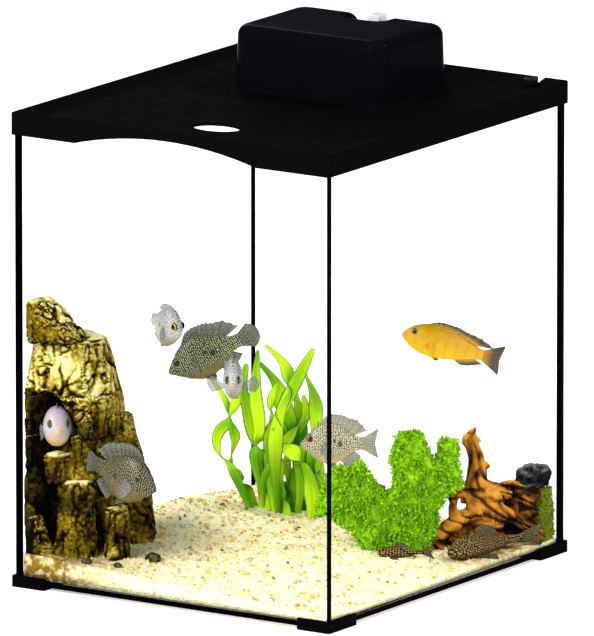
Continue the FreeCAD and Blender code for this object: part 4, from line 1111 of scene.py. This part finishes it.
def all_fish():
    eye = eye_paint()
    blotches = [(0.5, 0.02, 0.035), (0.43, 0.1, 0.02)]
    grey = fish_paint("grey_fish", (0.009, 0.01, 0.004), (0.022, 0.024, 0.007), (0.16, 0.12, 0.03),
                      (0.52, 0.58, 0.33), 0.95, blotches, dot=0.27, step=1.7)
    light = fish_paint("light_fish", (0.035, 0.032, 0.014), (0.062, 0.053, 0.02), (0.34, 0.27, 0.12),
                       (0.54, 0.51, 0.35), 0.9, blotches, dot=0.36, step=1.45)
    pale = fish_paint("pale_fish", (0.11, 0.105, 0.09), (0.2, 0.19, 0.165), (0.26, 0.2, 0.08),
                      (0.56, 0.55, 0.53), 0.85, [(0.52, 0.05, 0.028)], dot=0.38, step=1.4)
    lilac = fish_paint("lilac_fish", (0.36, 0.3, 0.33), (0.37, 0.31, 0.32), (0.6, 0.42, 0.11),
                       (0.52, 0.45, 0.48), 0.45, [], dot=0.4, step=1.3, lips=(0.56, 0.34, 0.06))
    dusk = fish_paint("dusk_fish", (0.008, 0.006, 0.002), (0.018, 0.014, 0.003), (0.15, 0.1, 0.025),
                      (0.34, 0.31, 0.16), 0.95, [(0.5, 0.02, 0.03)], dot=0.26, step=1.65)
    yellow = fish_paint("yellow_fish", (0.34, 0.18, 0.0), (0.58, 0.3, 0.0), (0.72, 0.41, 0.001),
                        (0.66, 0.38, 0.003), 0.2, [], bars=0.3)
    armour = fish_paint("dark_fish", (0.005, 0.003, 0.001), (0.007, 0.004, 0.001),
                        (0.014, 0.009, 0.002), (0.46, 0.3, 0.04), 0.95, [], wet=0.6, dot=0.24, step=2.4)
    grey_fin = fin_paint("grey_fin", (0.035, 0.036, 0.018), (0.09, 0.09, 0.065), (0.36, 0.4, 0.3), 0.15)
    light_fin = fin_paint("light_fin", (0.2, 0.185, 0.11), (0.15, 0.15, 0.12), (0.5, 0.48, 0.36), 0.2)
    pale_fin = fin_paint("pale_fin", (0.26, 0.255, 0.22), (0.18, 0.185, 0.19), (0.55, 0.55, 0.52), 0.3)
    gold_fin = fin_paint("gold_fin", (0.48, 0.24, 0.0), (0.018, 0.022, 0.022), (0.12, 0.09, 0.03), 0.05,
                         (0.25, 0.62))
    dark_fin = fin_paint("dark_fin", (0.008, 0.005, 0.001), (0.016, 0.011, 0.003), (0.5, 0.33, 0.05), 0.0)
    thin = fin_paint("thin_fin", (0.22, 0.22, 0.19), (0.15, 0.16, 0.165), (0.4, 0.4, 0.36), 0.5)
    gold_thin = fin_paint("gold_thin_fin", (0.8, 0.46, 0.004), (0.86, 0.54, 0.02), (0.86, 0.55, 0.03), 0.5)
    gold_eye, red_eye, pale_eye = (0.5, 0.34, 0.02), (0.42, 0.13, 0.01), (0.26, 0.21, 0.06)
    dim_eye = (0.2, 0.15, 0.03)
    turn = degrees(VIEW_TURN)
    lilac_set = [lilac, pale_fin, thin, eye]
    grey_set, pale_set = [grey, grey_fin, thin, eye], [pale, pale_fin, thin, eye]
    dusk_set, gold_set = [dusk, grey_fin, thin, eye], [yellow, gold_fin, gold_thin, eye]
    light_set, dark_set = [light, light_fin, thin, eye], [armour, dark_fin, dark_fin, eye]
    round_tail = dict(CICHLID, tail=(0.27, -0.04, 0.34), pectoral=(0.31, -0.1, 0.1))
    even_tail = dict(CICHLID, tail=(0.34, 0.22, 0.05))
    low_tail = dict(CICHLID, tail=(0.2, 0.0, 0.3), eye=(0.25, 0.13, 0.075))
    stub_tail = dict(CICHLID, tail=(0.12, 0.0, 0.3), body=0.94, dorsal=(0.25, 0.7, 0.02, 0.03),
                     anal=(0.62, 0.8, 0.02, 0.02), spike=0.04)
    swims = [  # node, slot, form, size, heading, rise, paints, eye, bend, fan
        ("cichlid_high", "pale_fish", stub_tail, (38, 35, 15), -12, -10, pale_set, gold_eye, 0.2, 0.8),
        ("cichlid_large", "grey_fish", round_tail, (78, 38, 15), turn + 180, -25, grey_set, dim_eye,
         0.0, 0.8),
        ("cichlid_middle", "pale_fish", stub_tail, (48, 36, 16), -58, -10, pale_set, dim_eye, -0.5, 1.7),
        ("cichlid_low", "grey_fish", low_tail, (70, 42, 18), turn - 28, -14, dusk_set, dim_eye,
         0.3, 0.9),
        ("cichlid_right", "grey_fish", even_tail, (62, 36, 14), turn + 180, 0, light_set, red_eye,
         0.0, 0.8),
        ("yellow_cichlid", "yellow_fish", SLIM, (83, 28, 12), turn + 180, 16, gold_set, pale_eye,
         0.0, 0.8)]
    for node, slot, *rest in swims:
        fish(node, node + "_swimmer", slot, *rest)
    fish("cichlid_left", "tank", "pale_fish", stub_tail, (38, 35, 23), -50, 0, lilac_set, dim_eye,
         0.2, 0.95)
    for node, size, heading, bend in (("pleco_large", (102, 20, 20), -99, 0.3),
                                      ("pleco_small", (46, 10, 11), turn + 180, 0.2),
                                      ("pleco_hidden", (34, 7, 8), turn + 170, 0.0)):
        fish(node, "tank", "dark_fish", PLECO, size, heading, 0, dark_set, pale_eye, bend)


# ---- CAD parts that keep their shape --------------------------------------------------

def paint_frame():
    names = list(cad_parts)
    clear_glass().on(*[name for name in names if name.endswith("_glass")])
    seal = moulded("black_silicone", (0.0004, 0.0004, 0.0004), 0.5, 0.004, 700.0, 0.0002)
    seal.on(*[name for name in names if "_seal" in name])
    foot = moulded("foot_plastic", (0.0012, 0.0012, 0.0012), 0.6, 0.006, 2200.0, 0.0001)
    foot.on(*[name for name in names if name.startswith("corner_foot")])
    moulded("hood_plastic", (0.002, 0.002, 0.002), 0.6, 0.0015, 1900.0, 0.0002).on("hood_shell")
    moulded("housing_plastic", (0.0018, 0.0027, 0.0036), 0.2, 0.003, 600.0, 0.00002).on(
        "filter_box", "pump_cover")
    moulded("inner_plastic", (0.02, 0.02, 0.022), 0.5, 0.3, 1500.0, 0.0001).on(
        "lamp_tray", "lamp_switch_case", "sponge_grid", "intake_strainer", "intake_tube")
    moulded("pump_plastic", (0.045, 0.05, 0.055), 0.45, 0.35, 1500.0, 0.0001).on(
        "pump_body", "pump_volute", "impeller")
    moulded("button_plastic", (0.004, 0.004, 0.004), 0.25, 0.06, 400.0, 0.00001).on(
        "lamp_button", "switch_body", "switch_rocker")
    steel().on("hood_screws", "impeller_shaft")
    lamp_board().on("lamp_board")
    lamp_chip().on("lamp_chips")
    lamp_lens().on("lamp_lens")
    clear_boot().on("switch_boot")
    foam().on("filter_sponge")


make_camera()
studio()
paint_frame()
rocks()
driftwood()
frond = leaf_paint("frond_leaf", (0.33, 0.66, 0.003), (0.04, 0.22, 0.001), 9.0)
bush("frond_plant", frond, 3600, 4.2 * MM, 1.2 * MM, 5)
moss = leaf_paint("moss", (0.28, 0.36, 0.008), (0.03, 0.055, 0.001), 9.0)
bush("corner_moss", moss, 1500, 2.6 * MM, 0.7 * MM, 6)
strap_plant()
sand_bed()
grains()
all_fish()
